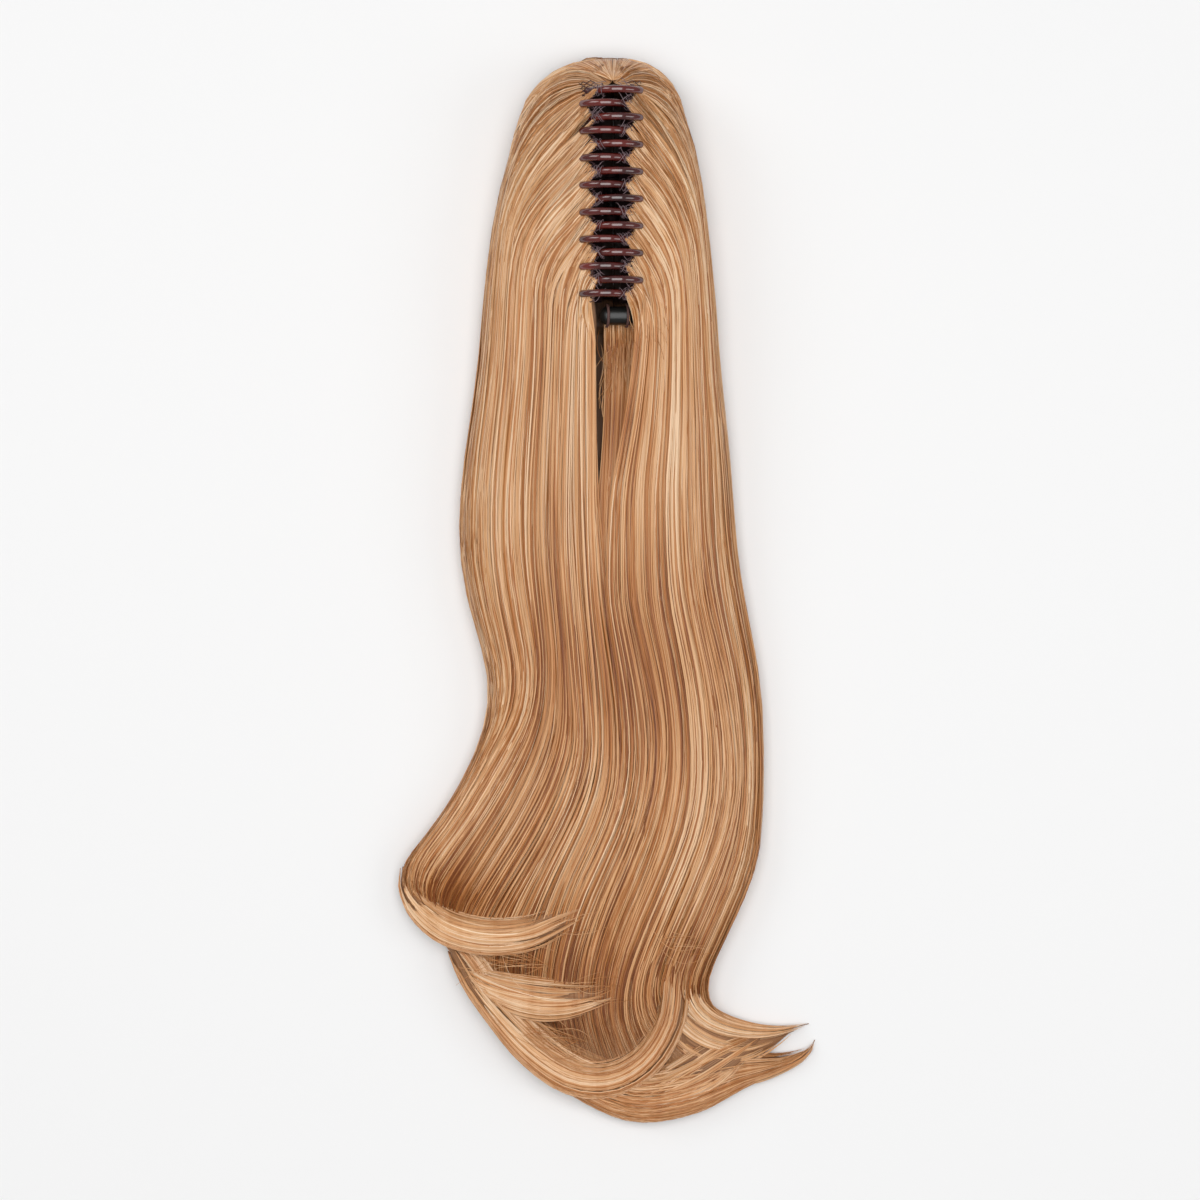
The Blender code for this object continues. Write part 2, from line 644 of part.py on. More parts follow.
def make_claw():
    burgundy = finish("claw_burgundy", (0.16, 0.042, 0.035), 0.15)
    right_burgundy = finish("right_claw_burgundy", (0.16, 0.042, 0.035), 0.15)
    steel = finish("pin_steel", (0.55, 0.55, 0.56), 0.30, 1.0)
    spring_steel = finish("spring_steel", (0.50, 0.50, 0.51), 0.35, 1.0)
    left_thread = finish("left_net_thread", (0.055, 0.018, 0.016), 0.80)
    right_thread = finish("right_net_thread", (0.055, 0.018, 0.016), 0.80)
    make_jaw("left_jaw", -1, 0, INNER_EAR_START + EAR_WIDTH + EAR_GAP, burgundy)
    make_jaw("right_jaw", 1, 1, INNER_EAR_START, right_burgundy)
    make_pin(steel)
    make_spring(spring_steel)
    make_net("left_net", -1, left_thread)
    make_net("right_net", 1, right_thread)


def make_end_cap():
    make_cap(finish("cap_black", (0.012, 0.012, 0.012), 0.18))
    for name, share in LOOP_PLACES:
        make_loop(name, share, finish(name + "_brown", (0.10, 0.045, 0.025), 0.75))


def make_all_hair():
    """The two halves and the locks, each cut clear of the locks that lie on or beside it."""
    tone = (0.56, 0.31, 0.17)
    left = make_hair("left_hair", -1, LEFT_HAIR_END, finish("left_hair_tone", tone, 0.42))
    right = make_hair("right_hair", 1, RIGHT_HAIR_END, finish("right_hair_tone", tone, 0.42))
    made = {}
    for name, rows in (("upper_curl", UPPER_CURL), ("lower_curl", LOWER_CURL),
                       ("bottom_sweep", BOTTOM_SWEEP), ("upper_flick", UPPER_FLICK),
                       ("lower_flick", LOWER_FLICK)):
        made[name] = make_lock(name, rows, finish(name + "_tone", tone, 0.42))
    cuts = (
        (left, ("upper_curl", "lower_curl", "bottom_sweep", "lower_flick")),
        (right, ("lower_flick", "upper_flick")),
        (made["bottom_sweep"][0], ("lower_curl",)),
        (made["lower_flick"][0], ("bottom_sweep", "upper_flick")),
    )
    for piece, names in cuts:
        for name in names:
            combine(piece, made[name][1], "DIFFERENCE")


def main():
    clear_scene()
    make_claw()
    make_end_cap()
    make_all_hair()


main()
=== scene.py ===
# Clip-in ponytail: a sprung claw with a net on each jaw, and long waved hair.
# It lies on its back with the teeth up, and the camera looks straight down at it.
import math

import bmesh
import bpy
import numpy as np
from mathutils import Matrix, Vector


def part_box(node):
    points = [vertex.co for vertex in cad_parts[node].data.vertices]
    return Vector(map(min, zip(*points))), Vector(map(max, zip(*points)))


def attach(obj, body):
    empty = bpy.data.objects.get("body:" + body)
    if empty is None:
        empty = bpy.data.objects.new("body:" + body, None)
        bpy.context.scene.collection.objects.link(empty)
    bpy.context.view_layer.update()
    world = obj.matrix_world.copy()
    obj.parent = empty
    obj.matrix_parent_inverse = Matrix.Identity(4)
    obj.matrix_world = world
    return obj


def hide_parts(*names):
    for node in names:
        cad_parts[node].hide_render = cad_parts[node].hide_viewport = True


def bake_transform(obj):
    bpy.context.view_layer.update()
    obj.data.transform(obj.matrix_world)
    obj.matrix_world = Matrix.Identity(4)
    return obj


mm = 0.001
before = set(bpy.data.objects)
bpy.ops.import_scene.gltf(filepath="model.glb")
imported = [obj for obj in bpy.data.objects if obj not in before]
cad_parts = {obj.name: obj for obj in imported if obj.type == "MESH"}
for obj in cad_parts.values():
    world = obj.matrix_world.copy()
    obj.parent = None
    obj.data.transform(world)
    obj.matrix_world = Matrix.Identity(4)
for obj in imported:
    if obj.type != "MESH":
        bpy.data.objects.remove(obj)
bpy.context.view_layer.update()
print("frame loaded")


# Shader helpers: a wire is one socket's value, and sums on wires add Math nodes
class Wire:
    def __init__(self, shader, socket):
        self.shader = shader
        self.socket = socket

    def maths(self, operation, first, second):
        return self.shader.node("ShaderNodeMath", {"operation": operation}, {0: first, 1: second})

    def __add__(self, other):
        return self.maths("ADD", self, other)

    def __radd__(self, other):
        return self.maths("ADD", other, self)

    def __sub__(self, other):
        return self.maths("SUBTRACT", self, other)

    def __rsub__(self, other):
        return self.maths("SUBTRACT", other, self)

    def __mul__(self, other):
        return self.maths("MULTIPLY", self, other)


class Shader:
    def __init__(self, name):
        self.material = bpy.data.materials.new(name)
        self.material.use_nodes = True
        self.tree = self.material.node_tree
        self.surface = self.tree.nodes["Principled BSDF"]

    def node(self, kind, settings=None, values=None, stops=None, out=0):
        made = self.tree.nodes.new(kind)
        for name, value in (settings or {}).items():
            setattr(made, name, value)
        if stops:
            ramp = made.color_ramp
            while len(ramp.elements) < len(stops):
                ramp.elements.new(0.5)
            for element, (place, colour) in zip(ramp.elements, stops):
                element.position = place
                element.color = (*colour, 1.0)
        for name, value in (values or {}).items():
            self.feed(made.inputs[name], value)
        return Wire(self, made.outputs[out])

    def feed(self, socket, value):
        if isinstance(value, Wire):
            self.tree.links.new(value.socket, socket)
        else:
            socket.default_value = value

    def set(self, **values):
        for name, value in values.items():
            self.feed(self.surface.inputs[name.replace("_", " ")], value)

    def place(self, scale):
        coordinates = self.node("ShaderNodeTexCoord", out="Object")
        return self.node("ShaderNodeMapping", None, {"Vector": coordinates, "Scale": scale})

    def noise(self, vector, scale, detail=2.0):
        return self.node("ShaderNodeTexNoise", None,
                         {"Vector": vector, "Scale": scale, "Detail": detail})

    def ramp(self, share, stops):
        return self.node("ShaderNodeValToRGB", None, {"Fac": share}, stops)

    def mixColour(self, share, first, second):
        made = self.tree.nodes.new("ShaderNodeMix")
        made.data_type = "RGBA"
        self.feed(made.inputs["Factor"], share)
        for place, colour in ((6, first), (7, second)):
            self.feed(made.inputs[place], colour if isinstance(colour, Wire) else (*colour, 1.0))
        return Wire(self, made.outputs[2])

    def attribute(self, name):
        return self.node("ShaderNodeAttribute", {"attribute_name": name}, out="Fac")


def between(pair, share):
    return pair[0] + (pair[1] - pair[0]) * share


# Mesh helpers
def finishPiece(piece, material, body):
    piece.data.materials.append(material)
    for face in piece.data.polygons:
        face.use_smooth = True
    if body:
        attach(piece, body)
    return piece


def newObject(name, mesh):
    piece = bpy.data.objects.new(name, mesh)
    bpy.context.scene.collection.objects.link(piece)
    return piece


def meshPiece(name, bm):
    bmesh.ops.recalc_face_normals(bm, faces=bm.faces[:])
    mesh = bpy.data.meshes.new(name)
    bm.to_mesh(mesh)
    bm.free()
    return newObject(name, mesh)


def extrudeRings(bm, rings):
    # the first ring's edges are extruded from place to place
    verts = [bm.verts.new(point) for point in rings[0]]
    first = verts
    edges = [bm.edges.new((verts[i], verts[(i + 1) % len(verts)])) for i in range(len(verts))]
    for ring in rings[1:]:
        made = bmesh.ops.extrude_edge_only(bm, edges=edges)["geom"]
        edges = [item for item in made if isinstance(item, bmesh.types.BMEdge)
                 and item.verts[0] not in verts and item.verts[1] not in verts]
        after = {}
        for item in made:
            if isinstance(item, bmesh.types.BMFace):
                for edge in item.edges:
                    ends = [vert for vert in edge.verts if vert in verts]
                    if len(ends) == 1:
                        after[ends[0]] = edge.other_vert(ends[0])
        verts = [after[vert] for vert in verts]
        for vert, point in zip(verts, ring):
            vert.co = point
    return first, verts


def cappedRings(bm, rings):
    first, last = extrudeRings(bm, rings)
    bm.faces.new(first)
    bm.faces.new(last)


# The hair's form: shares of the length down from the crown, and the edges, the seam and the
# crest there, as shares of the half width and of the crest
hairForm = {
    "length": 0.532,
    "halfWidth": 0.1045,
    "crest": 0.044,
    "edgeHeight": 0.006,
    "roundness": 2.6,
    "partingDepth": 0.002,
    "partingReach": 0.005,
    "footDrop": 0.003,
    "down": (0.0015, 0.0075, 0.015, 0.026, 0.041, 0.070, 0.126, 0.182, 0.239, 0.295, 0.352,
             0.408, 0.464, 0.521, 0.558, 0.605, 0.643, 0.680, 0.718, 0.746, 0.767, 0.789,
             0.821, 0.859, 0.897, 0.935, 0.950),
    "left": (0.075, 0.211, 0.282, 0.349, 0.407, 0.459, 0.526, 0.574, 0.603, 0.622, 0.670,
             0.708, 0.713, 0.660, 0.603, 0.574, 0.608, 0.699, 0.852, 0.957, 0.985, 0.925,
             0.800, 0.600, 0.400, 0.180, 0.080),
    "right": (0.078, 0.183, 0.243, 0.293, 0.331, 0.372, 0.434, 0.466, 0.494, 0.507, 0.545,
              0.568, 0.586, 0.637, 0.669, 0.697, 0.706, 0.704, 0.687, 0.665, 0.637, 0.604,
              0.542, 0.453, 0.420, 0.415, 0.415),
    "seam": (0.030, 0.030, 0.028, 0.022, 0.010, 0.010, 0.010, 0.010, 0.010, -0.005, -0.020,
             -0.033, -0.030, -0.024, -0.006, 0.014, 0.038, 0.062, 0.092, 0.122, 0.146, 0.170,
             0.202, 0.240, 0.250, 0.240, 0.235),
    "crestShare": (0.30, 0.50, 0.68, 0.84, 0.95, 1.00, 1.00, 1.00, 0.98, 0.93, 0.88,
                   0.82, 0.77, 0.73, 0.71, 0.69, 0.66, 0.63, 0.59, 0.55, 0.52, 0.48,
                   0.43, 0.39, 0.35, 0.31, 0.30),
}
# Where the claw's row lies along the hair, and how far each half stays off the seam there
clawRow = {
    "top": 0.2480, "end": 0.1425, "capEnd": 0.1300, "closed": 0.0540, "backLayer": 0.0048,
    "capFloor": 0.0290, "valleyFloor": 0.0230,
    "places": (-0.020, 0.054, 0.080, 0.110, 0.122, 0.132, 0.1425, 0.2440, 0.2475, 0.2500, 0.2660),
    "leftGap": (0.0, 0.0030, 0.0050, 0.0064, 0.0064, 0.0062, 0.0074, 0.0110, 0.0070, 0.0003,
                0.0003),
    "rightGap": (0.0, 0.0020, 0.0060, 0.0098, 0.0108, 0.0106, 0.0108, 0.0120, 0.0070, 0.0003,
                 0.0003),
}


def formAt(y, column):
    share = 0.5 - np.asarray(y) / hairForm["length"]
    return np.interp(share, hairForm["down"], hairForm[column])


def edgeX(y, side):
    return side * hairForm["halfWidth"] * formAt(y, "right" if side > 0 else "left")


def seamX(y):
    return hairForm["halfWidth"] * formAt(y, "seam")


def innerX(y, side):
    # the claw's flank beside the claw, drawn in to the seam above and below it
    gap = np.interp(y, clawRow["places"], clawRow["rightGap" if side > 0 else "leftGap"])
    closed = 1 - gap / 0.0120
    return seamX(y) * closed + side * gap


def acrossX(y, side, share):
    return between((innerX(y, side), edgeX(y, side)), share)


def footHeight(y):
    # the hair's height between its two halves: behind the claw, under the cap and below it
    if y > clawRow["top"]:
        return float(hairForm["crest"] * formAt(y, "crestShare")) - hairForm["footDrop"]
    if y > clawRow["end"]:
        return clawRow["backLayer"]
    if y > clawRow["capEnd"]:
        return clawRow["capFloor"]
    share = min(1.0, (clawRow["capEnd"] - y) / (clawRow["capEnd"] - clawRow["closed"]))
    crest = float(hairForm["crest"] * formAt(y, "crestShare")) - hairForm["footDrop"]
    return clawRow["valleyFloor"] + (crest - clawRow["valleyFloor"]) * share


def hairHeight(x, y, side):
    inner = innerX(y, side)
    edge = edgeX(y, side)
    share = np.clip((x - inner) / (edge - inner), 0, 1)
    crest = hairForm["crest"] * formAt(y, "crestShare")
    low = np.minimum(hairForm["edgeHeight"], crest * 0.4)
    height = low + (crest - low) * np.sqrt(1 - share ** hairForm["roundness"])
    parting = np.clip(1 - np.abs(x - seamX(y)) / hairForm["partingReach"], 0, 1)
    return height - hairForm["partingDepth"] * parting * parting


# Shades of the hair, and of all the other finishes
hairShades = {
    "stops": ((0.0, (0.21, 0.056, 0.009)), (0.30, (0.46, 0.172, 0.045)),
              (0.62, (0.69, 0.376, 0.174)), (1.0, (0.90, 0.655, 0.430))),
    "roughness": 0.36,
    "shine": 0.36,
    "tone": 0.95,             # how much each strand's own tone counts
    "drift": 0.40,            # how much it drifts along the strand
    "fade": 0.14,             # how much darker the ends are
    # the deeper hair's colours are darker than the strands' as painted shade between them, and the
    # colour after them is the near black of painted shade
    "baseStops": ((0.25, (0.13, 0.050, 0.016)), (0.55, (0.34, 0.155, 0.060)),
                  (0.80, (0.52, 0.280, 0.130))),
    "paintedShadeColour": (0.018, 0.008, 0.006),
}


def hairMaterial(name, shift):
    # each strand has its own tone, which drifts along its length; the tone also carries the
    # painted shade of the shade pockets
    shader = Shader(name)
    tone = shader.attribute("tone")
    along = shader.attribute("along")
    drift = shader.noise(shader.place((140.0, 9.0, 60.0)), 1.0, 3.0)
    value = tone * hairShades["tone"] + drift * hairShades["drift"] - 0.09 + shift
    value = value - along * hairShades["fade"]
    colour = shader.ramp(value, hairShades["stops"])
    rough = hairShades["roughness"] + (drift - 0.5) * 0.2
    shader.set(Base_Color=colour, Roughness=rough)
    shader.surface.inputs["Specular IOR Level"].default_value = hairShades["shine"]
    return shader.material


def baseMaterial(name):
    # the deeper hair under the strands, streaked along the flow by its own attribute, in painted
    # shade
    shader = Shader(name)
    flow = shader.attribute("flow")
    along = shader.attribute("along")
    vector = shader.node("ShaderNodeCombineXYZ", None, {"X": flow * 260.0, "Y": along * 9.0})
    streak = shader.noise(vector, 1.0, 4.0)
    colour = shader.ramp(streak, hairShades["baseStops"])
    # painted shade: the shade attribute mixes the colour toward near black
    shaded = shader.mixColour(shader.attribute("shade"), colour, hairShades["paintedShadeColour"])
    bump = shader.node("ShaderNodeBump", None, {"Height": streak, "Strength": 0.6,
                                                "Distance": 0.0006})
    shader.set(Base_Color=shaded, Roughness=0.5, Normal=bump)
    return shader.material


strandTone = hairMaterial("hairStrands", 0.0)
paleTone = hairMaterial("paleStrands", 0.10)
palestTone = hairMaterial("palestStrands", 0.22)
shadedUnderTone = hairMaterial("paintedShadeStrands", -0.22)
baseTone = baseMaterial("deepHair")


# The claw, in the CAD's own sizes
claw = {
    "halfWidth": 0.0136, "rise": 0.0130, "hinge": 0.0240, "middle": 0.0370,
    "toothStep": 0.0066, "firstTooth": 0.2445, "teeth": 8,
    "toothWidth": 0.0036, "toothThickness": 0.0029, "toothStart": -10.0, "toothEnd": 142.0,
    "leavesNet": 45.0, "clearsNet": 108.0, "lift": 0.0044,
    "plateThickness": 0.0024, "plate": (-68.0, 8.0), "overhang": 0.0030,
    "leverLength": 0.0180, "leverWidth": 0.0260, "leverDrop": -40.0, "leverThickness": 0.0022,
    "bore": 0.0013, "earRadius": 0.0032, "earWidth": 0.0025, "earGap": 0.0004, "earStart": 0.0065,
    "webAngle": -15.0, "rounding": 0.0005, "paintedShadeBelow": 0.0440, "paintedShadeReach": 0.006,
}
clawY = claw["firstTooth"] - claw["toothStep"] * (2 * claw["teeth"] - 1) / 2


# The deeper hair: one shell for each half, a little inside the strands
# the shades say how far the shell's colour is painted toward near black, as painted shade: beside
# the claw, in the valley below it, at the seam, at the inner brink and at the foot of the edge
baseHair = {"inset": 0.0016, "innerInset": 0.0012, "floorGap": 0.0003, "across": 28,
            "leftEnd": 0.945, "rightEnd": 0.940, "clawShade": 0.95, "valleyShade": 0.74,
            "seamShade": 0.45, "brinkShade": 0.6, "edgeShade": 0.3}


def hairShell(name, side, topY, endY, stations):
    rings = []
    shades = []
    for k in range(stations + 1):
        y = topY + (endY - topY) * k / stations
        edge = float(edgeX(y, side)) - side * baseHair["inset"]
        inner = float(innerX(y, side)) + side * baseHair["innerInset"]
        seam = float(seamX(y)) + side * 0.0001
        foot = footHeight(y)
        low = baseHair["floorGap"]
        ring = [Vector((seam, y, low)), Vector((seam, y, foot)), Vector((inner, y, foot))]
        # painted shade at the seam, darkest beside the claw and dark in the valley below it
        paintedShade = baseHair["seamShade"]
        if clawRow["end"] < y < clawRow["top"]:
            paintedShade = baseHair["clawShade"]
        elif clawRow["closed"] - 0.03 < y < clawRow["top"]:
            paintedShade = baseHair["valleyShade"]
        shades += [paintedShade, paintedShade, paintedShade]
        for i in range(baseHair["across"] + 1):
            share = i / baseHair["across"]
            share = share * share * (3 - 2 * share) * 0.5 + share * 0.5
            x = inner + (edge - inner) * share
            height = float(hairHeight(np.float64(x), y, side)) - baseHair["inset"]
            ring.append(Vector((x, y, max(low + 0.001, height))))
            shades.append(baseHair["brinkShade"] if i == 0 else 0.0)
        ring.append(Vector((edge - side * 0.003, y, low)))
        shades.append(baseHair["edgeShade"])
        rings.append(ring)
    bm = bmesh.new()
    cappedRings(bm, rings)
    piece = meshPiece(name, bm)
    mesh = piece.data
    places = np.empty(len(mesh.vertices) * 3)
    mesh.vertices.foreach_get("co", places)
    places = places.reshape(-1, 3)
    edge = edgeX(places[:, 1], side)
    setAttribute(mesh, "flow", places[:, 0] / np.maximum(np.abs(edge), 0.01))
    setAttribute(mesh, "along", 0.5 - places[:, 1] / hairForm["length"])
    setAttribute(mesh, "shade", shades)
    return piece


def setAttribute(mesh, name, values):
    attribute = mesh.attributes.new(name, "FLOAT", "POINT")
    attribute.data.foreach_set("value", np.asarray(values, dtype=np.float32).ravel())


def lengthDown(share):
    return hairForm["length"] * (0.5 - share)


# The left half's shell is made in three pieces: the tail rides the root, and the pieces beside and
# below the claw are baked in place
splits = {"claw": 0.150, "fall": 0.066}
leftTail = hairShell("leftTailBase", -1, splits["fall"], lengthDown(baseHair["leftEnd"]), 50)
finishPiece(leftTail, baseTone, "root")
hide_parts("left_hair")
leftClawBase = hairShell("leftClawBase", -1, 0.2652, splits["claw"], 38)
finishPiece(leftClawBase, baseTone, None)
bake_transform(leftClawBase)
leftFallBase = hairShell("leftFallBase", -1, splits["claw"], splits["fall"], 22)
finishPiece(leftFallBase, baseTone, None)
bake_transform(leftFallBase)
rightBase = hairShell("rightBase", 1, 0.2652, lengthDown(baseHair["rightEnd"]), 100)
finishPiece(rightBase, baseTone, "root")
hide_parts("right_hair")
print("deeper hair made")


# Where the hair lies in its own shade. A row is the middle's X and Y, the reach in X and in Y,
# in millimetres, and how much darker
shadePockets = (
    (-2, -34, 40, 46, 0.32),
    (50, -20, 30, 70, 0.10),
    (4, 119, 12, 8, 0.30),
    (4, 86, 10, 18, 0.26),
    (-84, -148, 18, 16, 0.34),
    (-58, -154, 26, 9, 0.22),
    (-52, -184, 28, 9, 0.30),
    (-34, -218, 18, 12, 0.34),
    (0, -192, 44, 34, 0.28),
    (40, -186, 22, 20, 0.16),
)


def pocketShade(x, y):
    total = np.zeros_like(x)
    for middleX, middleY, reachX, reachY, shade in shadePockets:
        away = ((x / mm - middleX) / reachX) ** 2 + ((y / mm - middleY) / reachY) ** 2
        total -= shade * np.exp(-away)
    return total


# Strands: each is a ribbon with a low ridge, three points across
def strandPiece(name, paths, widths, tones, leans, material, shaded=True):
    paths = np.asarray(paths)
    strands, places, _ = paths.shape
    along = np.gradient(paths, axis=1)
    along /= np.maximum(np.linalg.norm(along, axis=2, keepdims=True), 1e-9)
    up = np.array((0.0, 0.0, 1.0))
    side = np.cross(along, up)
    side /= np.maximum(np.linalg.norm(side, axis=2, keepdims=True), 1e-9)
    rise = np.cross(side, along)
    lean = np.asarray(leans)
    if lean.ndim == 1:
        lean = np.repeat(lean[:, None], places, axis=1)
    lean = lean + random.normal(0.0, 0.35, strands)[:, None]
    cosine = np.cos(lean)[:, :, None]
    sine = np.sin(lean)[:, :, None]
    across = side * cosine + rise * sine
    out = rise * cosine - side * sine
    share = np.linspace(0.0, 1.0, places)
    taper = np.minimum(1.0, 0.35 + share * 14.0) * np.clip((1.0 - share) * 5.0 + 0.10, 0.0, 1.0)
    half = np.asarray(widths)[:, None] * taper[None, :] / 2
    half = half[:, :, None]
    ribbon = np.stack((paths - across * half, paths + out * half * 0.7, paths + across * half),
                      axis=2)
    mesh = bpy.data.meshes.new(name)
    vertexCount = strands * places * 3
    mesh.vertices.add(vertexCount)
    mesh.vertices.foreach_set("co", ribbon.astype(np.float32).ravel())
    row = np.arange(places - 1) * 3
    corner = np.stack((row, row + 1, row + 4, row + 3, row + 1, row + 2, row + 5, row + 4), axis=1)
    corner = corner.reshape(-1, 4)
    start = np.arange(strands) * places * 3
    faces = (start[:, None, None] + corner[None, :, :]).reshape(-1, 4)
    mesh.loops.add(faces.size)
    mesh.loops.foreach_set("vertex_index", faces.astype(np.int32).ravel())
    mesh.polygons.add(len(faces))
    mesh.polygons.foreach_set("loop_start", np.arange(0, faces.size, 4, dtype=np.int32))
    mesh.polygons.foreach_set("use_smooth", np.ones(len(faces), dtype=bool))
    mesh.update(calc_edges=True)
    tone = np.asarray(tones)
    if tone.ndim == 1:
        tone = np.repeat(tone[:, None], places, axis=1)
    # painted shade: the shade pockets darken the tone where the hair lies in shade
    if shaded:
        tone = tone + pocketShade(paths[:, :, 0], paths[:, :, 1])
    setAttribute(mesh, "tone", np.repeat(tone.ravel(), 3))
    setAttribute(mesh, "along", np.tile(np.repeat(share, 3), strands))
    mesh.materials.append(material)
    piece = newObject(name, mesh)
    return piece


random = np.random.default_rng(7)

# How the main strands run below the waist of the hair: lines in millimetres from the left
# outline to the right one, each at its share of the half width
tailLines = (
    {"share": -1.00, "line": ((-69.5, -6), (-60, -38), (-60.5, -62), (-70, -88), (-86.5, -115),
                              (-102.5, -134), (-103.5, -146), (-95, -160), (-80, -170))},
    {"share": -0.69, "line": ((-47.5, -6), (-42, -38), (-45, -60), (-57, -81), (-74.5, -110),
                              (-90, -130), (-97, -142), (-93, -154), (-82, -162))},
    {"share": -0.50, "line": ((-34, -6), (-31.5, -33), (-34, -59), (-42, -81), (-57, -108),
                              (-74.5, -134), (-84, -148), (-86, -159), (-79, -168))},
    {"share": -0.275, "line": ((-18, -6), (-16.5, -44), (-15.5, -71), (-21, -93), (-34, -120),
                               (-47.5, -142), (-58, -160), (-64, -178), (-60, -194))},
    {"share": -0.03, "line": ((-0.5, -6), (3.5, -44), (4.5, -73), (2, -99), (-7.5, -124),
                              (-17, -142), (-27, -172), (-31, -202), (-23, -228))},
    {"share": 0.185, "line": ((14, -6), (21, -39), (25, -66), (23.5, -93), (16.5, -120),
                              (8.5, -140), (-5, -174), (-9.5, -206), (0, -237))},
    {"share": 0.467, "line": ((33, -6), (39.5, -44), (41, -86), (37, -113), (30, -133),
                              (18, -161), (7, -190), (6, -213), (18, -236))},
    {"share": 0.72, "line": ((50, -6), (58.5, -46), (62.5, -86), (59.5, -113), (51, -138),
                             (38, -168), (28, -192), (32, -210), (58, -222))},
    {"share": 1.00, "line": ((66.5, -6), (73.5, -44), (75, -79), (74.5, -106), (71.5, -135),
                             (57.5, -168), (45, -194), (50, -209), (76, -217))},
)
mainHair = {
    "strands": {-1: 2480, 1: 2380},
    "highest": 0.2656,
    "crownShare": 0.34,       # of the roots, those that start at the parting
    "clumps": 170,
    "clumpPull": 0.28,        # how far each strand is drawn to its clump's middle
    "clumpTone": 0.28,
    "clumpLift": 0.0007,
    "steepShare": 0.62,       # right of this share across, the ends run down to the table
    "width": (0.00038, 0.00088),
    "waistY": -0.006,
    "places": 33,
    "spread": 0.0013,         # how far the strands of a clump lie apart in height
}


# The crown's strands fan out from the parting. A pair is a value at the fan's two ends
crownFan = {"middle": (0.0006, 0.2508), "away": (0.3, 8.8), "drop": 0.0046, "turn": (86, -46),
            "reach": (0.068, 0.074), "pull": (0.60, 0.30), "root": 0.0400,
            "rootRise": {-1: 0.005, 1: 0.011}}
# The flank's strands start in tufts between the other jaw's tips, and none at the bare place
flankFan = {"ends": (0.2465, 0.1440), "away": 6.6, "tuft": 4.8, "loose": 1.8, "sway": 0.0017,
            "bareY": 0.2318, "bareHalf": 0.0032, "bareAway": 6.5, "turn": (-46, -60),
            "turnLoose": 6, "reach": (0.074, 0.028), "pull": 0.30, "root": 0.0512,
            "rootDip": 0.0036}


def smoothLine(points, shares):
    # a Catmull-Rom curve through the points, read at shares of its length
    points = np.asarray(points, dtype=float)
    padded = np.vstack((2 * points[0] - points[1], points, 2 * points[-1] - points[-2]))
    fine = []
    for i in range(len(points) - 1):
        a, b, c, d = padded[i:i + 4]
        t = np.linspace(0.0, 1.0, 12, endpoint=False)[:, None]
        fine.append((2 * b + (c - a) * t + (2 * a - 5 * b + 4 * c - d) * t ** 2
                     + (3 * b - a - 3 * c + d) * t ** 3) / 2)
    fine.append(points[-1:])
    fine = np.vstack(fine)
    steps = np.linalg.norm(np.diff(fine[:, :2], axis=0), axis=1)
    length = np.concatenate(((0.0,), np.cumsum(steps)))
    length /= length[-1]
    return np.stack([np.interp(shares, length, fine[:, k]) for k in range(fine.shape[1])], axis=1)


def settleLine(line, places):
    # soften the corners, then lay the places out closest where the line bends
    for _ in range(6):
        line[1:-1] = line[1:-1] * 0.5 + (line[:-2] + line[2:]) * 0.25
    steps = np.diff(line, axis=0)
    length = np.linalg.norm(steps, axis=1)
    turn = np.unwrap(np.arctan2(steps[:, 1], steps[:, 0]))
    bend = np.abs(np.gradient(turn))
    weight = length / length.sum() * 1.3 + bend / max(0.3, bend.sum())
    mark = np.concatenate(((0.0,), np.cumsum(weight)))
    wanted = np.linspace(0, mark[-1], places)
    return np.stack([np.interp(wanted, mark, line[:, k]) for k in range(2)], axis=1)


lineSteps = np.linspace(0, 1, 61)
lineShares = np.array([row["share"] for row in tailLines])
lineTable = np.array([smoothLine(row["line"], lineSteps) for row in tailLines]) * mm


def tailLine(share, shares):
    # the line at a share across, between its two neighbours in the table
    place = np.interp(share, lineShares, np.arange(len(lineShares)))
    i = min(int(place), len(lineShares) - 2)
    line = lineTable[i] * (1 - (place - i)) + lineTable[i + 1] * (place - i)
    return np.stack([np.interp(shares, lineSteps, line[:, k]) for k in range(2)], axis=1)


def roundShare(q):
    # even steps over the hair's round side, with the last ones down its edge
    turn = np.clip(q / 0.90, 0, 1)
    share = np.sin(turn * math.pi / 2) ** 0.92
    drop = np.clip((q - 0.90) / 0.10, 0, 1)
    return share, drop


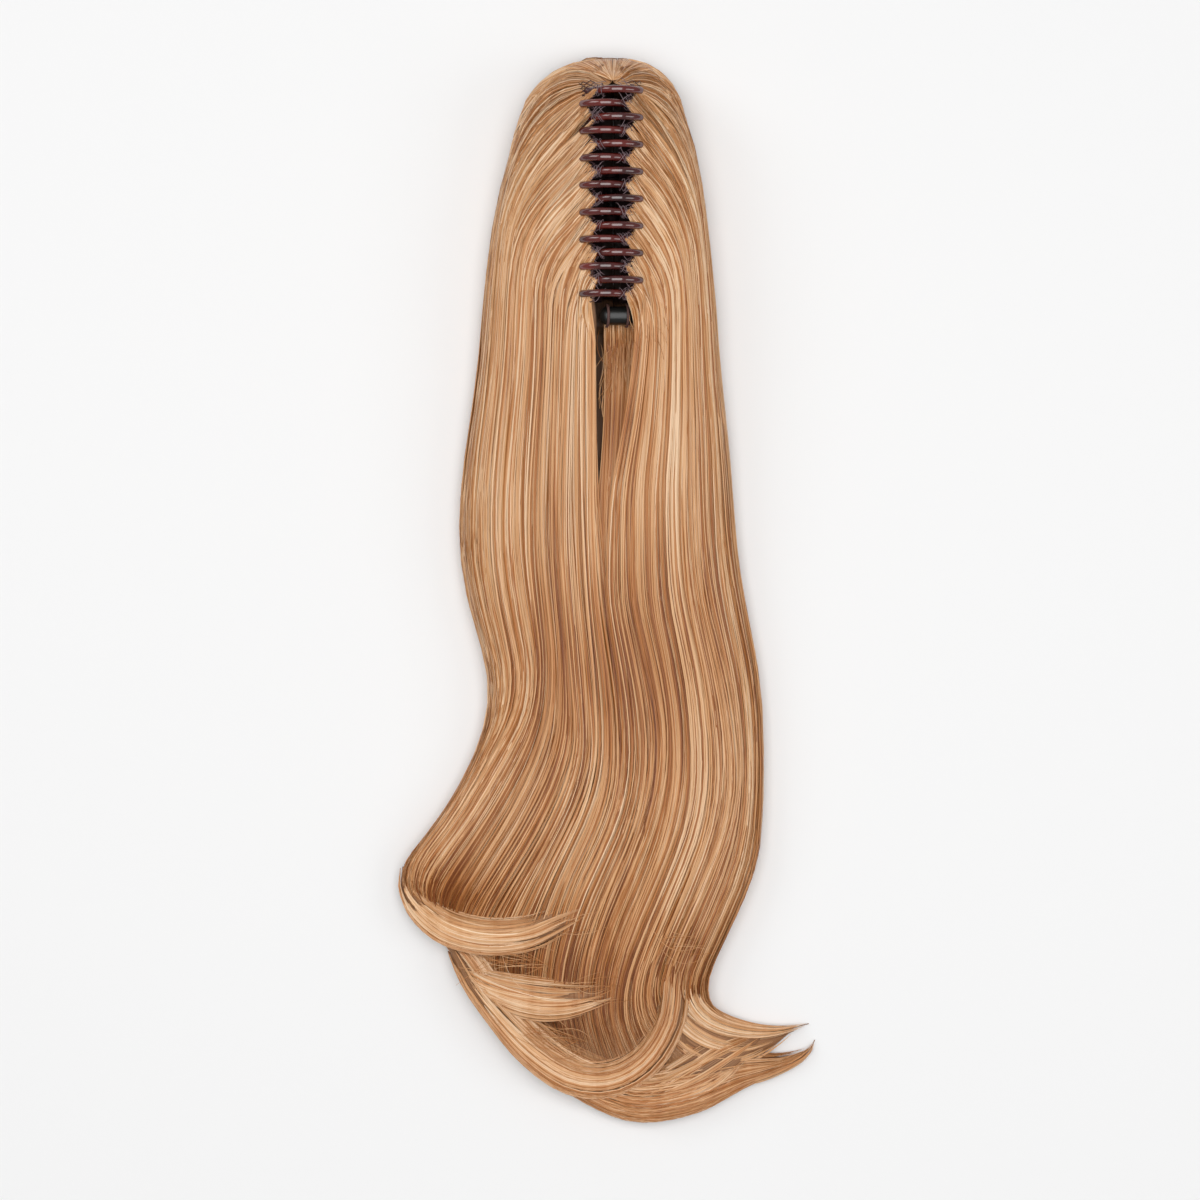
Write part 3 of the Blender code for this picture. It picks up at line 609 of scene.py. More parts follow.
def mainStrand(side, root, q):
    # one strand from the net, out in a fan, down the body and through the tail
    share, drop = roundShare(q)
    crown = mainHair["crownShare"]
    if root < crown:
        part = root / crown
        away = between(crownFan["away"], part ** 1.6)
        start = np.array((crownFan["middle"][0] + side * away * mm,
                          crownFan["middle"][1] - crownFan["drop"] * part ** 0.5))
        turn = math.radians(between(crownFan["turn"], part ** 1.1))
        reach = between(crownFan["reach"], part)
        pull = between(crownFan["pull"], part)
        rootHeight = crownFan["root"] + crownFan["rootRise"][side] * part
    else:
        part = (root - crown) / (1 - crown)
        y = between(flankFan["ends"], part)
        beat = (y - claw["firstTooth"]) / (2 * claw["toothStep"]) + (0.5 if side < 0 else 0.0)
        wave = 0.5 + 0.5 * math.cos(2 * math.pi * beat)
        away = flankFan["away"] + flankFan["tuft"] * wave * wave
        away = away + flankFan["loose"] * random.random()
        if side < 0 and abs(y - flankFan["bareY"]) < flankFan["bareHalf"]:
            away += flankFan["bareAway"]
        y = y + flankFan["sway"] * math.sin(2 * math.pi * beat)
        start = np.array((side * away * mm, y))
        loose = random.normal(0, flankFan["turnLoose"])
        turn = math.radians(between(flankFan["turn"], part) + loose)
        reach = between(flankFan["reach"], part)
        pull = flankFan["pull"]
        rootHeight = flankFan["root"] - flankFan["rootDip"] * wave
    endY = start[1] - reach
    join = np.array((acrossX(endY, side, share), endY))
    gap = np.linalg.norm(join - start)
    first = start + np.array((side * math.cos(turn), math.sin(turn))) * gap * pull
    nextY = endY - 0.010
    flow = join - np.array((acrossX(nextY, side, share), nextY))
    second = join + flow / np.linalg.norm(flow) * gap * 0.45
    t = np.linspace(0, 1, 26)[:, None]
    fan = ((1 - t) ** 3 * start + 3 * (1 - t) ** 2 * t * first
           + 3 * (1 - t) * t ** 2 * second + t ** 3 * join)
    waist = mainHair["waistY"]
    bodyY = np.linspace(endY, waist, 30)[1:]
    body = np.stack((acrossX(bodyY, side, share), bodyY), axis=1)
    # the innermost strands cross the seam below the cleft
    cross = 0.0035 * random.random() * max(0.0, 1 - share / 0.16)
    body[:, 0] -= side * cross * np.clip((clawRow["closed"] - bodyY) / 0.04, 0, 1)
    end = 1.0 - 0.16 * random.random() ** 2
    tail = tailLine(side * share - side * cross * 14, np.linspace(0, end, 44))
    tail[:, 0] += (body[-1, 0] - tail[0, 0]) * np.linspace(1, 0, len(tail)) ** 2
    line = settleLine(np.vstack((fan, body, tail[1:])), mainHair["places"])
    return line, rootHeight, drop


def mainHeights(line, side, share, rootHeight, drop, layer, rise):
    x, y = line[:, 0], line[:, 1]
    steps = np.linalg.norm(np.diff(line, axis=0), axis=1)
    length = np.concatenate(((0.0,), np.cumsum(steps)))
    toEnd = length[-1] - length
    height = np.maximum(hairHeight(x, y, side), 0.009)
    if side * share > mainHair["steepShare"]:
        height = np.minimum(height, 0.002 + toEnd * 0.35)
    height = np.maximum(height + layer, 0.0009)
    lift = np.clip(length / 0.016, 0, 1)
    lift = lift * lift * (3 - 2 * lift)
    height = rootHeight + (height - rootHeight) * lift
    height = height + rise * np.exp(-((length - 0.010) / 0.009) ** 2)
    # the last strands run down the edge, where the hair meets the table
    wall = drop * np.clip(length / 0.06, 0, 1)
    height = height * (1 - wall) + 0.0012 * wall
    x = x - side * 0.0025 * wall
    return np.stack((x, y, height), axis=1)


def makeMainHair():
    groups = {}
    for side in (-1, 1):
        count = mainHair["strands"][side]
        clumpRoots = np.sort(random.random(mainHair["clumps"]))
        clumpTones = np.clip(random.normal(0.5, 0.17, mainHair["clumps"]), 0, 1)
        clumpLifts = random.normal(0, mainHair["clumpLift"], mainHair["clumps"])
        clumpPhases = random.random(mainHair["clumps"]) * 2 * math.pi
        for k in range(count):
            root = (k + random.random()) / count
            clump = int(np.argmin(np.abs(clumpRoots - root + random.normal(0, 0.004))))
            centre = clumpRoots[clump]
            q = 1 - root
            q = q + (1 - centre - q) * mainHair["clumpPull"] + random.normal(0, 0.010)
            q = min(1.0, max(0.015, q))
            tone = mainHair["clumpTone"] * clumpTones[clump] + 0.80 * random.random() - 0.04
            line, rootHeight, drop = mainStrand(side, root, q)
            places = np.arange(len(line)) / (len(line) - 1)
            sway = np.sin(places * 9.0 + clumpPhases[clump]) * 0.0008
            sway += np.sin(places * 17.0 + random.random() * 6.3) * 0.0003
            line[:, 0] += sway * np.clip(places * 5, 0, 1) * (1 - drop)
            layer = clumpLifts[clump] + random.uniform(-1.0, 1.0) * mainHair["spread"]
            rise = 0.0014 * random.random()
            path = mainHeights(line, side, roundShare(q)[0], rootHeight, drop, layer, rise)
            path[:, 1] = np.minimum(path[:, 1], mainHair["highest"])
            lean = side * (0.15 + 1.2 * roundShare(q)[0] ** 5)
            label = groupOf(side, root)
            width = random.uniform(*mainHair["width"])
            groups.setdefault(label, []).append((path, width, tone, lean))
    return groups


def groupOf(side, root):
    crown = mainHair["crownShare"]
    word = "left" if side < 0 else "right"
    if root < crown:
        return word + "CrownHair"
    part = (root - crown) / (1 - crown)
    return f"{word}FlankHair{int(part * 4) + 1}"


mainGroups = makeMainHair()
for label, strands in mainGroups.items():
    columns = list(zip(*strands))
    piece = strandPiece(label, *columns, strandTone)
    if label == "leftCrownHair":
        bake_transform(piece)
    elif label.startswith("left"):
        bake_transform(piece)
    else:
        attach(piece, "root")


# The deeper hair below the cap, which the two halves close over, in a darker copy of the hair
# material as painted shade
underHair = {"strands": 250, "top": 0.1330, "x": (-0.0034, 0.0130), "end": -0.012,
             "capRise": 0.0075}


def makeUnderHair():
    columns = []
    for _ in range(underHair["strands"]):
        share = random.random()
        x = between(underHair["x"], share)
        top = underHair["top"] + random.uniform(-0.003, 0.003)
        y = np.linspace(top, underHair["end"], 22)
        part = (top - y) / (top - underHair["end"])
        target = seamX(y) + (share - 0.4) * 0.010
        bend = part * part * (3 - 2 * part)
        line = x * (1 - bend) + target * bend + 0.0012 * np.sin(part * 6 + share * 20) * part
        foot = np.array([footHeight(min(place, 0.1299)) for place in y])
        foot += underHair["capRise"] * np.clip((y - 0.1250) / 0.0045, 0, 1)
        layer = random.uniform(0.0, 0.0016)
        height = foot + layer + 0.002 * np.sin(np.clip(part * 8, 0, 1) * math.pi)
        tone = 0.35 + 0.65 * random.random()
        columns.append((np.stack((line, y, height), axis=1), random.uniform(0.0004, 0.0008),
                        tone, 0.0))
    piece = strandPiece("underHair", *zip(*columns), shadedUnderTone)
    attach(piece, "root")


makeUnderHair()


# Short strands from the parting up over the crown's end
partingHair = {"strands": 170, "x": 0.0008, "y": 0.2500, "turn": (89.0, 28.0), "places": 120,
               "reach": 0.040, "bow": 6.0, "last": 0.2651, "root": 0.0405, "crest": 0.2635}


def makePartingHair(side, name):
    columns = []
    for k in range(partingHair["strands"]):
        share = (k + random.random()) / partingHair["strands"]
        turn = math.radians(between(partingHair["turn"], share))
        reach = np.linspace(0.0, partingHair["reach"], partingHair["places"])
        x = partingHair["x"] + side * (0.0003 + reach * math.cos(turn))
        bow = partingHair["bow"] * reach * reach * math.cos(turn)
        y = partingHair["y"] + reach * math.sin(turn) - bow
        inside = (np.abs(x) < np.abs(edgeX(y, side))) & (y < partingHair["last"])
        last = max(6, int(np.argmin(inside)) if not inside.all() else len(reach) - 1)
        mark = np.linspace(0, last, 13)
        x = np.interp(mark, np.arange(partingHair["places"]), x)
        y = np.interp(mark, np.arange(partingHair["places"]), y)
        part = mark / last
        crest = hairHeight(x, np.minimum(y, partingHair["crest"]), side)
        root = partingHair["root"]
        height = root + (crest - root) * np.clip(part * 2.5, 0, 1)
        height = height + random.uniform(0.0, 0.0016)
        height = height * (1 - 0.90 * np.clip((part - 0.86) / 0.14, 0, 1) ** 1.5)
        tone = 0.25 + 0.65 * random.random()
        columns.append((np.stack((x, y, height), axis=1), random.uniform(0.0004, 0.0009), tone,
                        side * 0.3))
    return strandPiece(name, *zip(*columns), strandTone)


# Strands round the crown's sides and end, from its top down to the table
crownSides = {"strands": 230, "top": (0.2644, 0.1950), "reach": (0.016, 0.060),
              "outermost": 0.985}


def makeCrownSides(side, name):
    columns = []
    for k in range(crownSides["strands"]):
        share = (k + random.random()) / crownSides["strands"]
        t = np.linspace(0, 1, 15)
        y = between(crownSides["top"], share) - between(crownSides["reach"], share) * t ** 1.3
        across = random.uniform(0.55, 0.85) + 0.45 * t
        x = acrossX(y, side, np.minimum(across, crownSides["outermost"]))
        height = hairHeight(x, y, side) * (1 - t ** 3) + random.uniform(0.0, 0.0008)
        height = np.maximum(height, 0.0012)
        tone = 0.25 + 0.65 * random.random()
        columns.append((np.stack((x, y, height), axis=1), random.uniform(0.0005, 0.0010), tone,
                        side * (0.3 + 1.0 * t)))
    return strandPiece(name, *zip(*columns), strandTone)


for side, word in ((-1, "left"), (1, "right")):
    for piece in (makePartingHair(side, word + "PartingHair"),
                  makeCrownSides(side, word + "CrownSides")):
        if side < 0:
            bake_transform(piece)
        else:
            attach(piece, "root")
print("main strands made:", sum(len(rows) for rows in mainGroups.values()))


# Locks that curl over, sweep and flick. A row is one place along a lock in millimetres: its
# middle, its half width, the height it lies at and its own thickness
locks = {
    "upperCurl": {
        "replaces": "upper_curl", "strands": 500, "fray": 0.30, "shift": "pale",
        "rows": ((-103.5, -136, 1.5, 4, 3), (-101, -147, 4.5, 6, 5), (-93, -157, 7.5, 8, 6),
                 (-80, -165.5, 9.0, 12, 6), (-62, -169.5, 9.2, 15.5, 5.5),
                 (-42, -168, 8.8, 18, 4.5), (-26, -162, 7.0, 19.5, 3), (-10, -155, 3.0, 20, 1.5)),
    },
    "lowerCurl": {
        "replaces": "lower_curl", "strands": 440, "fray": 0.32, "shift": "pale",
        "rows": ((-81, -178, 1.5, 5, 3), (-73, -187, 5.0, 8, 5), (-60, -194.5, 8.0, 11, 5.5),
                 (-41, -200, 10.5, 13.5, 5.5), (-22, -201, 9.5, 15.5, 4), (2, -197, 4.5, 16.5, 2)),
    },
    "bottomSweep": {
        "replaces": "bottom_sweep", "strands": 600, "fray": 0.10, "shift": "plain",
        "rows": ((-88, -162, 3.5, 0, 8), (-70.5, -178, 8.0, 0, 13), (-52, -205.5, 9.5, 0, 14),
                 (-41, -218, 10.5, 0, 14.5), (-26, -231, 11.5, 0, 15),
                 (-4, -243, 13.5, 0, 15), (15.5, -247.5, 15.5, 0, 14.5),
                 (40, -243.5, 15.0, 0, 13), (63, -237, 10.0, 0, 10), (85, -233.5, 4.0, 0, 6),
                 (100.5, -226, 0.5, 0.5, 2)),
    },
    "smileSweep": {
        "replaces": None, "strands": 500, "fray": 0.30, "shift": "pale",
        "rows": ((-82, -170, 2.0, 8, 4), (-70, -191, 5.0, 10, 6), (-57, -208, 6.2, 11, 7),
                 (-40, -226, 8.0, 11, 7.5), (-20, -239, 9.0, 11, 7.5),
                 (0, -240.5, 9.0, 11, 7.5), (17, -231, 8.5, 11, 7),
                 (28, -214, 8.0, 11, 6.5), (31, -198, 8.0, 12, 5.5), (32, -182, 8.0, 14, 4),
                 (35, -166, 7.5, 16, 3), (41, -150, 6.0, 17.5, 1.5)),
    },
    "lowerFlick": {
        "replaces": "lower_flick", "strands": 380, "fray": 0.26, "shift": "palest",
        "rows": ((24, -170, 4.0, 2, 10), (26, -192, 9.0, 1, 12), (33, -211, 13.0, 0, 13),
                 (46, -222, 14.0, 0, 12.5), (62, -226, 11.0, 0, 11), (77, -223.5, 5.5, 0, 7),
                 (91, -218, 0.5, 1, 2)),
    },
    "fanSweep": {
        "replaces": None, "strands": 380, "fray": 0.34, "shift": "pale",
        "rows": ((-6, -246, 0.6, 9, 2), (14, -250, 7.0, 9, 5), (38, -241, 12.0, 8, 6),
                 (58, -229, 11.0, 7, 6), (77, -218, 0.8, 5, 2)),
    },
    "upperFlick": {
        "replaces": "upper_flick", "strands": 260, "fray": 0.14, "shift": "palest",
        "rows": ((39, -172, 3.0, 2, 12), (38, -188, 6.0, 1, 13.5), (40, -202, 6.5, 0, 14.5),
                 (49, -212, 6.2, 0, 13.5), (65, -217.5, 4.8, 0, 11), (82, -218, 2.6, 0, 7.5),
                 (98.5, -214.5, 0.4, 0.5, 1.5)),
    },
    "lowerTip": {
        "replaces": None, "strands": 120, "fray": 0.10, "shift": "pale",
        "rows": ((56, -243, 3.0, 1, 7), (74, -240, 3.2, 0, 6), (90, -233.8, 2.4, 0, 4.5),
                 (98.5, -227.8, 1.3, 0.5, 3), (101.5, -222.5, 0.4, 1, 1.5)),
    },
}


lockInset = 0.0012


def lockShell(name, rows):
    table = smoothLine(np.asarray(rows, dtype=float), np.linspace(0, 1, 40)) * mm
    path = table[:, :2]
    along = np.gradient(path, axis=0)
    along /= np.linalg.norm(along, axis=1, keepdims=True)
    rings = []
    for k in range(len(table)):
        across = Vector((along[k, 1], -along[k, 0], 0.0))
        middle = Vector((path[k, 0], path[k, 1], 0.0))
        half = max(0.0002, table[k, 2] - lockInset)
        low = max(0.0002, table[k, 3])
        thick = max(0.0004, table[k, 4] - lockInset)
        ring = []
        for i in range(13):
            share = math.cos(math.pi * i / 12)
            dome = 0.30 + 0.70 * math.sqrt(max(0.0, 1 - share * share))
            ring.append(middle - across * half * share + Vector((0, 0, low + thick * dome)))
        ring.append(middle + across * half * 0.8 + Vector((0, 0, low)))
        ring.insert(0, middle - across * half * 0.8 + Vector((0, 0, low)))
        rings.append(ring)
    bm = bmesh.new()
    cappedRings(bm, rings)
    piece = meshPiece(name, bm)
    setAttribute(piece.data, "flow", np.tile(np.linspace(0, 0.35, 15), len(table)))
    setAttribute(piece.data, "along", np.repeat(np.linspace(0, 0.5, len(table)), 15))
    setAttribute(piece.data, "shade", np.zeros(len(piece.data.vertices)))
    return piece


def lockStrands(name, lock, material):
    count = lock["strands"]
    rows = np.asarray(lock["rows"], dtype=float)
    clumps = max(6, count // 16)
    clumpAngles = (np.arange(clumps) + 0.5) / clumps
    clumpTones = np.clip(random.normal(0.5, 0.18, clumps), 0, 1)
    clumpStarts = random.uniform(0, lock["fray"], clumps)
    clumpEnds = random.uniform(0, lock["fray"], clumps)
    clumpDrift = random.normal(0, 0.24, clumps)
    columns = []
    for k in range(count):
        place = (k + random.random()) / count
        clump = min(clumps - 1, int(place * clumps))
        begin = clumpStarts[clump] + random.uniform(0, 0.08)
        stop = 1 - clumpEnds[clump] - random.uniform(0, 0.08)
        shares = np.linspace(begin, stop, 17)
        table = smoothLine(rows, shares) * mm
        path = table[:, :2]
        along = np.gradient(path, axis=0)
        along /= np.linalg.norm(along, axis=1, keepdims=True)
        across = np.stack((along[:, 1], -along[:, 0]), axis=1)
        place = place + (clumpAngles[clump] - place) * 0.5
        turn = math.pi * (1 - place)
        wander = clumpDrift[clump] * (shares - begin) * 1.5 + random.normal(0, 0.05)
        turn = np.clip(turn + wander, -0.15, math.pi + 0.15)
        lateral = np.cos(turn)
        dome = 0.30 + 0.70 * np.clip(np.sin(turn), 0, 1)
        lift = 1 + random.normal(0, 0.05)
        point = path + across * (table[:, 2] * lateral)[:, None]
        height = table[:, 3] + table[:, 4] * dome * lift + random.uniform(-0.4, 0.5) * mm
        height = np.maximum(height, 0.0008)
        points = np.column_stack((point, height))
        tone = 0.45 * clumpTones[clump] + 0.55 * random.random()
        columns.append((points, random.uniform(0.0004, 0.00085), tone, lateral))
    piece = strandPiece(name, *zip(*columns), material, shaded=False)
    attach(piece, "root")


for lockName, lock in locks.items():
    tone = {"plain": strandTone, "pale": paleTone, "palest": palestTone}[lock["shift"]]
    lockStrands(lockName + "Strands", lock, tone)
    shell = lockShell(lockName + "Base", lock["rows"])
    finishPiece(shell, baseTone, "root")
    if lock["replaces"]:
        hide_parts(lock["replaces"])
print("locks made")


# Loose hairs. A row is the middle's X and Y, the direction in degrees, the length, the spread in
# X and in Y and the height, in millimetres, and how many cross there
looseHair = (
    (-46, -183, -6, 46, 12, 5, 22, 18),
    (-30, -216, -14, 36, 10, 7, 21, 18),
    (34, -172, -6, 34, 8, 6, 24, 8),
    (-20, -160, 14, 44, 10, 4, 22, 16),
    (-8, -196, 6, 34, 8, 6, 22, 12),
    (2, 110, 84, 46, 9, 14, 33, 26),
    (20, 128, 112, 30, 5, 9, 44, 16),
)
looseWidth = 0.00024


def makeLooseHair():
    columns = []
    for middleX, middleY, heading, longest, spreadX, spreadY, top, count in looseHair:
        for _ in range(count):
            turn = math.radians(heading + random.normal(0, 9))
            length = longest * random.uniform(0.5, 1.0) * mm
            middle = np.array((middleX + random.normal(0, spreadX * 0.5),
                               middleY + random.normal(0, spreadY * 0.5))) * mm
            t = np.linspace(-0.5, 0.5, 14)
            bow = random.normal(0, 0.16) * length
            x = middle[0] + math.cos(turn) * t * length - math.sin(turn) * bow * (0.25 - t * t) * 4
            y = middle[1] + math.sin(turn) * t * length + math.cos(turn) * bow * (0.25 - t * t) * 4
            height = top * mm * (1.0 - 0.25 * (2 * t) ** 2) + random.normal(0, 0.0008)
            columns.append((np.stack((x, y, height), axis=1), looseWidth,
                            0.15 + 0.55 * random.random(), 0.0))
    piece = strandPiece("looseHair", *zip(*columns), strandTone, shaded=False)
    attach(piece, "root")


makeLooseHair()
print("loose hair made")


# Plastic, thread and metal
def clawMaterial():
    # polished dark burgundy in cloudy shades; low inside the claw it is matt, without its coat,
    # and painted nearly black as painted shade
    shader = Shader("clawBurgundy")
    cloud = shader.noise(shader.place((60.0, 60.0, 60.0)), 1.0, 2.0)
    colour = shader.ramp(cloud, ((0.30, (0.030, 0.003, 0.003)), (0.72, (0.150, 0.012, 0.007))))
    paintedShade = shader.attribute("paintedShade")
    shaded = shader.mixColour(paintedShade, colour, (0.012, 0.004, 0.004))
    shader.set(Base_Color=shaded, Roughness=0.20 + cloud * 0.10 + paintedShade * 0.5,
               Coat_Weight=1.0 - paintedShade)
    surface = shader.surface.inputs
    surface["Specular IOR Level"].default_value = 0.15
    surface["Coat IOR"].default_value = 1.80
    surface["Coat Roughness"].default_value = 0.04
    return shader.material


def plainMaterial(name, colour, roughness, scale, metallic=0.0):
    # a grain of two shades, the dark one at seven tenths of the colour
    shader = Shader(name)
    grain = shader.noise(shader.place((scale, scale, scale)), 1.0, 3.0)
    dark = tuple(value * 0.7 for value in colour)
    shade = shader.ramp(grain, ((0.3, dark), (0.7, colour)))
    shader.set(Base_Color=shade, Roughness=roughness + (grain - 0.5) * 0.12)
    shader.surface.inputs["Metallic"].default_value = metallic
    return shader.material


burgundy = clawMaterial()
netThread = plainMaterial("netThread", (0.075, 0.028, 0.032), 0.60, 1500.0)
netLoop = plainMaterial("netLoopThread", (0.250, 0.170, 0.185), 0.50, 1500.0)
blackGloss = plainMaterial("capBlack", (0.010, 0.010, 0.009), 0.34, 40.0)
brownThread = plainMaterial("brownThread", (0.120, 0.055, 0.045), 0.60, 1200.0)
wireSteel = plainMaterial("wireSteel", (0.035, 0.030, 0.030), 0.60, 90.0, 1.0)


def clawPoint(angle, lift, side, y=0.0):
    turn = math.radians(angle)
    x = (claw["halfWidth"] + lift) * math.cos(turn)
    z = claw["middle"] + (claw["rise"] + lift) * math.sin(turn)
    return Vector((side * x, y, z))


def toothLift(angle):
    share = (angle - claw["leavesNet"]) / (claw["clearsNet"] - claw["leavesNet"])
    share = min(1.0, max(0.0, share))
    return claw["lift"] * share * share * (3 - 2 * share)


def toothRings(y, side):
    stations = [(claw["toothStart"] + 4.0 * i, 1.0) for i in range(39)]
    for i in range(1, 8):
        turn = math.pi / 2 * i / 7.5
        stations.append((claw["toothEnd"] + 5.2 * math.sin(turn), math.cos(turn)))
    path = [clawPoint(angle, toothLift(angle), side, y) for angle, _ in stations]
    rings = []
    for i, (angle, size) in enumerate(stations):
        along = path[min(i + 1, len(path) - 1)] - path[max(i - 1, 0)]
        square = Vector((-along.z, 0.0, along.x)).normalized()
        thick = square * (size * claw["toothThickness"] / 2)
        wide = Vector((0, size * claw["toothWidth"] / 2, 0))
        turns = [2 * math.pi * k / 18 for k in range(18)]
        rings.append([path[i] + thick * math.cos(turn) + wide * math.sin(turn) for turn in turns])
    return rings


def curvedWall(path, thickness, low, high):
    # a wall of even thickness along a path in XZ, run out along Y
    outer = []
    inner = []
    for i, point in enumerate(path):
        along = path[min(i + 1, len(path) - 1)] - path[max(i - 1, 0)]
        square = Vector((-along.z, 0.0, along.x)).normalized() * (thickness / 2)
        outer.append(point + square)
        inner.append(point - square)
    outline = outer + inner[::-1]
    bm = bmesh.new()
    rings = [[Vector((point.x, y, point.z)) for point in outline] for y in (low, high)]
    first, last = extrudeRings(bm, rings)
    ends = [bm.faces.new(first), bm.faces.new(last)]
    bmesh.ops.triangulate(bm, faces=ends)
    bmesh.ops.recalc_face_normals(bm, faces=bm.faces[:])
    return bm


def earRing(low, high):
    # a ring that turns on the pin
    bm = bmesh.new()
    corners = ((claw["bore"], low), (claw["earRadius"], low), (claw["earRadius"], high),
               (claw["bore"], high))
    verts = [bm.verts.new((radius, y, claw["hinge"])) for radius, y in corners]
    edges = [bm.edges.new((verts[i], verts[(i + 1) % 4])) for i in range(4)]
    bmesh.ops.spin(bm, geom=verts + edges, cent=(0.0, 0.0, claw["hinge"]), axis=(0.0, 1.0, 0.0),
                   angle=2 * math.pi, steps=32, use_merge=True)
    bmesh.ops.recalc_face_normals(bm, faces=bm.faces[:])
    return bm


def joinInto(target, other):
    mesh = bpy.data.meshes.new("part")
    other.to_mesh(mesh)
    other.free()
    target.from_mesh(mesh)
    bpy.data.meshes.remove(mesh)


def hingePoint(angle, radius, side):
    turn = math.radians(angle)
    return Vector((side * radius * math.cos(turn), 0.0, claw["hinge"] + radius * math.sin(turn)))


def makeJaw(name, side, first, earStart, node):
    jaw = bmesh.new()
    for i in range(claw["teeth"]):
        y = claw["firstTooth"] - claw["toothStep"] * (first + 2 * i)
        bm = bmesh.new()
        cappedRings(bm, toothRings(y, side))
        bmesh.ops.recalc_face_normals(bm, faces=bm.faces[:])
        joinInto(jaw, bm)
    low = 2 * clawY - claw["firstTooth"] - claw["overhang"]
    high = claw["firstTooth"] + claw["overhang"]
    path = [clawPoint(between(claw["plate"], i / 16), 0.0, side) for i in range(17)]
    joinInto(jaw, curvedWall(path, claw["plateThickness"], low, high))
    base = clawPoint(claw["plate"][0], 0.0, 1) - Vector((0, 0, claw["hinge"]))
    startTurn = math.degrees(math.atan2(base.z, base.x))
    leverTurns = (startTurn, claw["leverDrop"])
    leverPath = [hingePoint(between(leverTurns, i / 8), base.length, side) for i in range(9)]
    leverPath.append(hingePoint(claw["leverDrop"], claw["leverLength"], side))
    half = claw["leverWidth"] / 2
    joinInto(jaw, curvedWall(leverPath, claw["leverThickness"], clawY - half, clawY + half))
    for end in (-1, 1):
        near, far = sorted((clawY + end * earStart, clawY + end * (earStart + claw["earWidth"])))
        joinInto(jaw, earRing(near, far))
        web = [hingePoint(claw["webAngle"], radius, side)
               for radius in (claw["earRadius"] - 0.0006, base.length)]
        joinInto(jaw, curvedWall(web, claw["earWidth"], near, far))
    mesh = bpy.data.meshes.new(name)
    jaw.to_mesh(mesh)
    jaw.free()
    # painted shade: the jaw's colour goes to near black below a height, inside the claw
    heights = np.array([vert.co.z for vert in mesh.vertices])
    paintedShade = np.clip((claw["paintedShadeBelow"] - heights) / claw["paintedShadeReach"], 0, 1)
    setAttribute(mesh, "paintedShade", paintedShade)
    piece = newObject(name, mesh)
    finishPiece(piece, burgundy, "left_jaw" if side < 0 else "root")
    rounding = piece.modifiers.new("roundedEdges", "BEVEL")
    rounding.width = claw["rounding"]
    rounding.segments = 2
    rounding.limit_method = "ANGLE"
    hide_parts(node)


makeJaw("leftJaw", -1, 0, claw["earStart"] + claw["earWidth"] + claw["earGap"], "left_jaw")
makeJaw("rightJaw", 1, 1, claw["earStart"], "right_jaw")
print("jaws made")


# Threads: round strings through lists of places, joined into one mesh
def threadPiece(name, strings, radius, sides, material, body):
    bm = bmesh.new()
    for string in strings:
        path = [Vector(point) for point in string]
        rings = []
        for i, point in enumerate(path):
            along = (path[min(i + 1, len(path) - 1)] - path[max(i - 1, 0)]).normalized()
            across = along.cross(Vector((1.0, 0.0, 0.0)))
            if across.length < 0.2:
                across = along.cross(Vector((0.0, 1.0, 0.0)))
            across.normalize()
            up = across.cross(along)
            rings.append([point + (across * math.cos(2 * math.pi * k / sides)
                                   + up * math.sin(2 * math.pi * k / sides)) * radius
                          for k in range(sides)])
        cappedRings(bm, rings)
    return finishPiece(meshPiece(name, bm), material, body)


net = {"angles": (-40.0, 60.0), "lift": 0.00225, "columns": 48, "rows": 10, "radius": 0.00024,
       "loops": 5, "loopFrom": 55, "loopAcross": 0.0027, "loopDeep": 0.0021, "loopRadius": 0.00015,
       "strays": 26, "strayFrom": (45, 56), "strayTurn": 26, "straySway": 0.004}


def netStrings(side):
    # a diamond mesh of zigzag strings over the jaw's outside
    strings = []
    for column in range(net["columns"] + 1):
        for lean in (-1, 1):
            string = []
            for row in range(net["rows"] + 1):
                angle = between(net["angles"], row / net["rows"])
                along = (column + lean * 0.5 * (row % 2)) / net["columns"]
                y = between((clawRow["end"], clawRow["top"]), along)
                wave = 0.00012 * math.sin(row * 2.1 + column)
                string.append(clawPoint(angle, net["lift"] + wave + lean * 0.00014, side, y))
            strings.append(string)
    return strings


def loopStrings(side, first):
    # looser loops round the root of each tooth
    strings = []
    for i in range(claw["teeth"]):
        y = claw["firstTooth"] - claw["toothStep"] * (first + 2 * i)
        for turnCount in range(net["loops"] if i or side < 0 else 2):
            string = []
            tilt = random.uniform(-7, 7)
            size = random.uniform(0.9, 1.2)
            middle = net["loopFrom"] + 4 * turnCount + random.uniform(-3, 3)
            for k in range(17):
                turn = 2 * math.pi * k / 16
                angle = middle + tilt * math.cos(turn)
                lift = toothLift(middle) + net["loopDeep"] * size * math.sin(turn)
                along = net["loopAcross"] * size * math.cos(turn)
                string.append(clawPoint(angle, lift, side, y + along))
            strings.append(string)
    for k in range(net["strays"]):
        y = random.uniform(clawRow["end"], clawRow["top"])
        string = []
        start = random.uniform(*net["strayFrom"])
        sway = random.uniform(-net["straySway"], net["straySway"])
        for i in range(9):
            part = i / 8
            lift = 0.0026 + 0.0012 * math.sin(math.pi * part)
            string.append(clawPoint(start + net["strayTurn"] * part, lift, side,
                                    y + sway * math.sin(math.pi * part * 1.5)))
        strings.append(string)
    return strings


for side, node in ((-1, "left_net"), (1, "right_net")):
    body = "left_jaw" if side < 0 else "root"
    word = "left" if side < 0 else "right"
    mesh = threadPiece(word + "Net", netStrings(side), net["radius"], 4, netThread, body)
    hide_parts(node)
    threadPiece(word + "NetLoops", loopStrings(side, 0 if side < 0 else 1), net["loopRadius"], 4,
                netLoop, body)
print("net made")


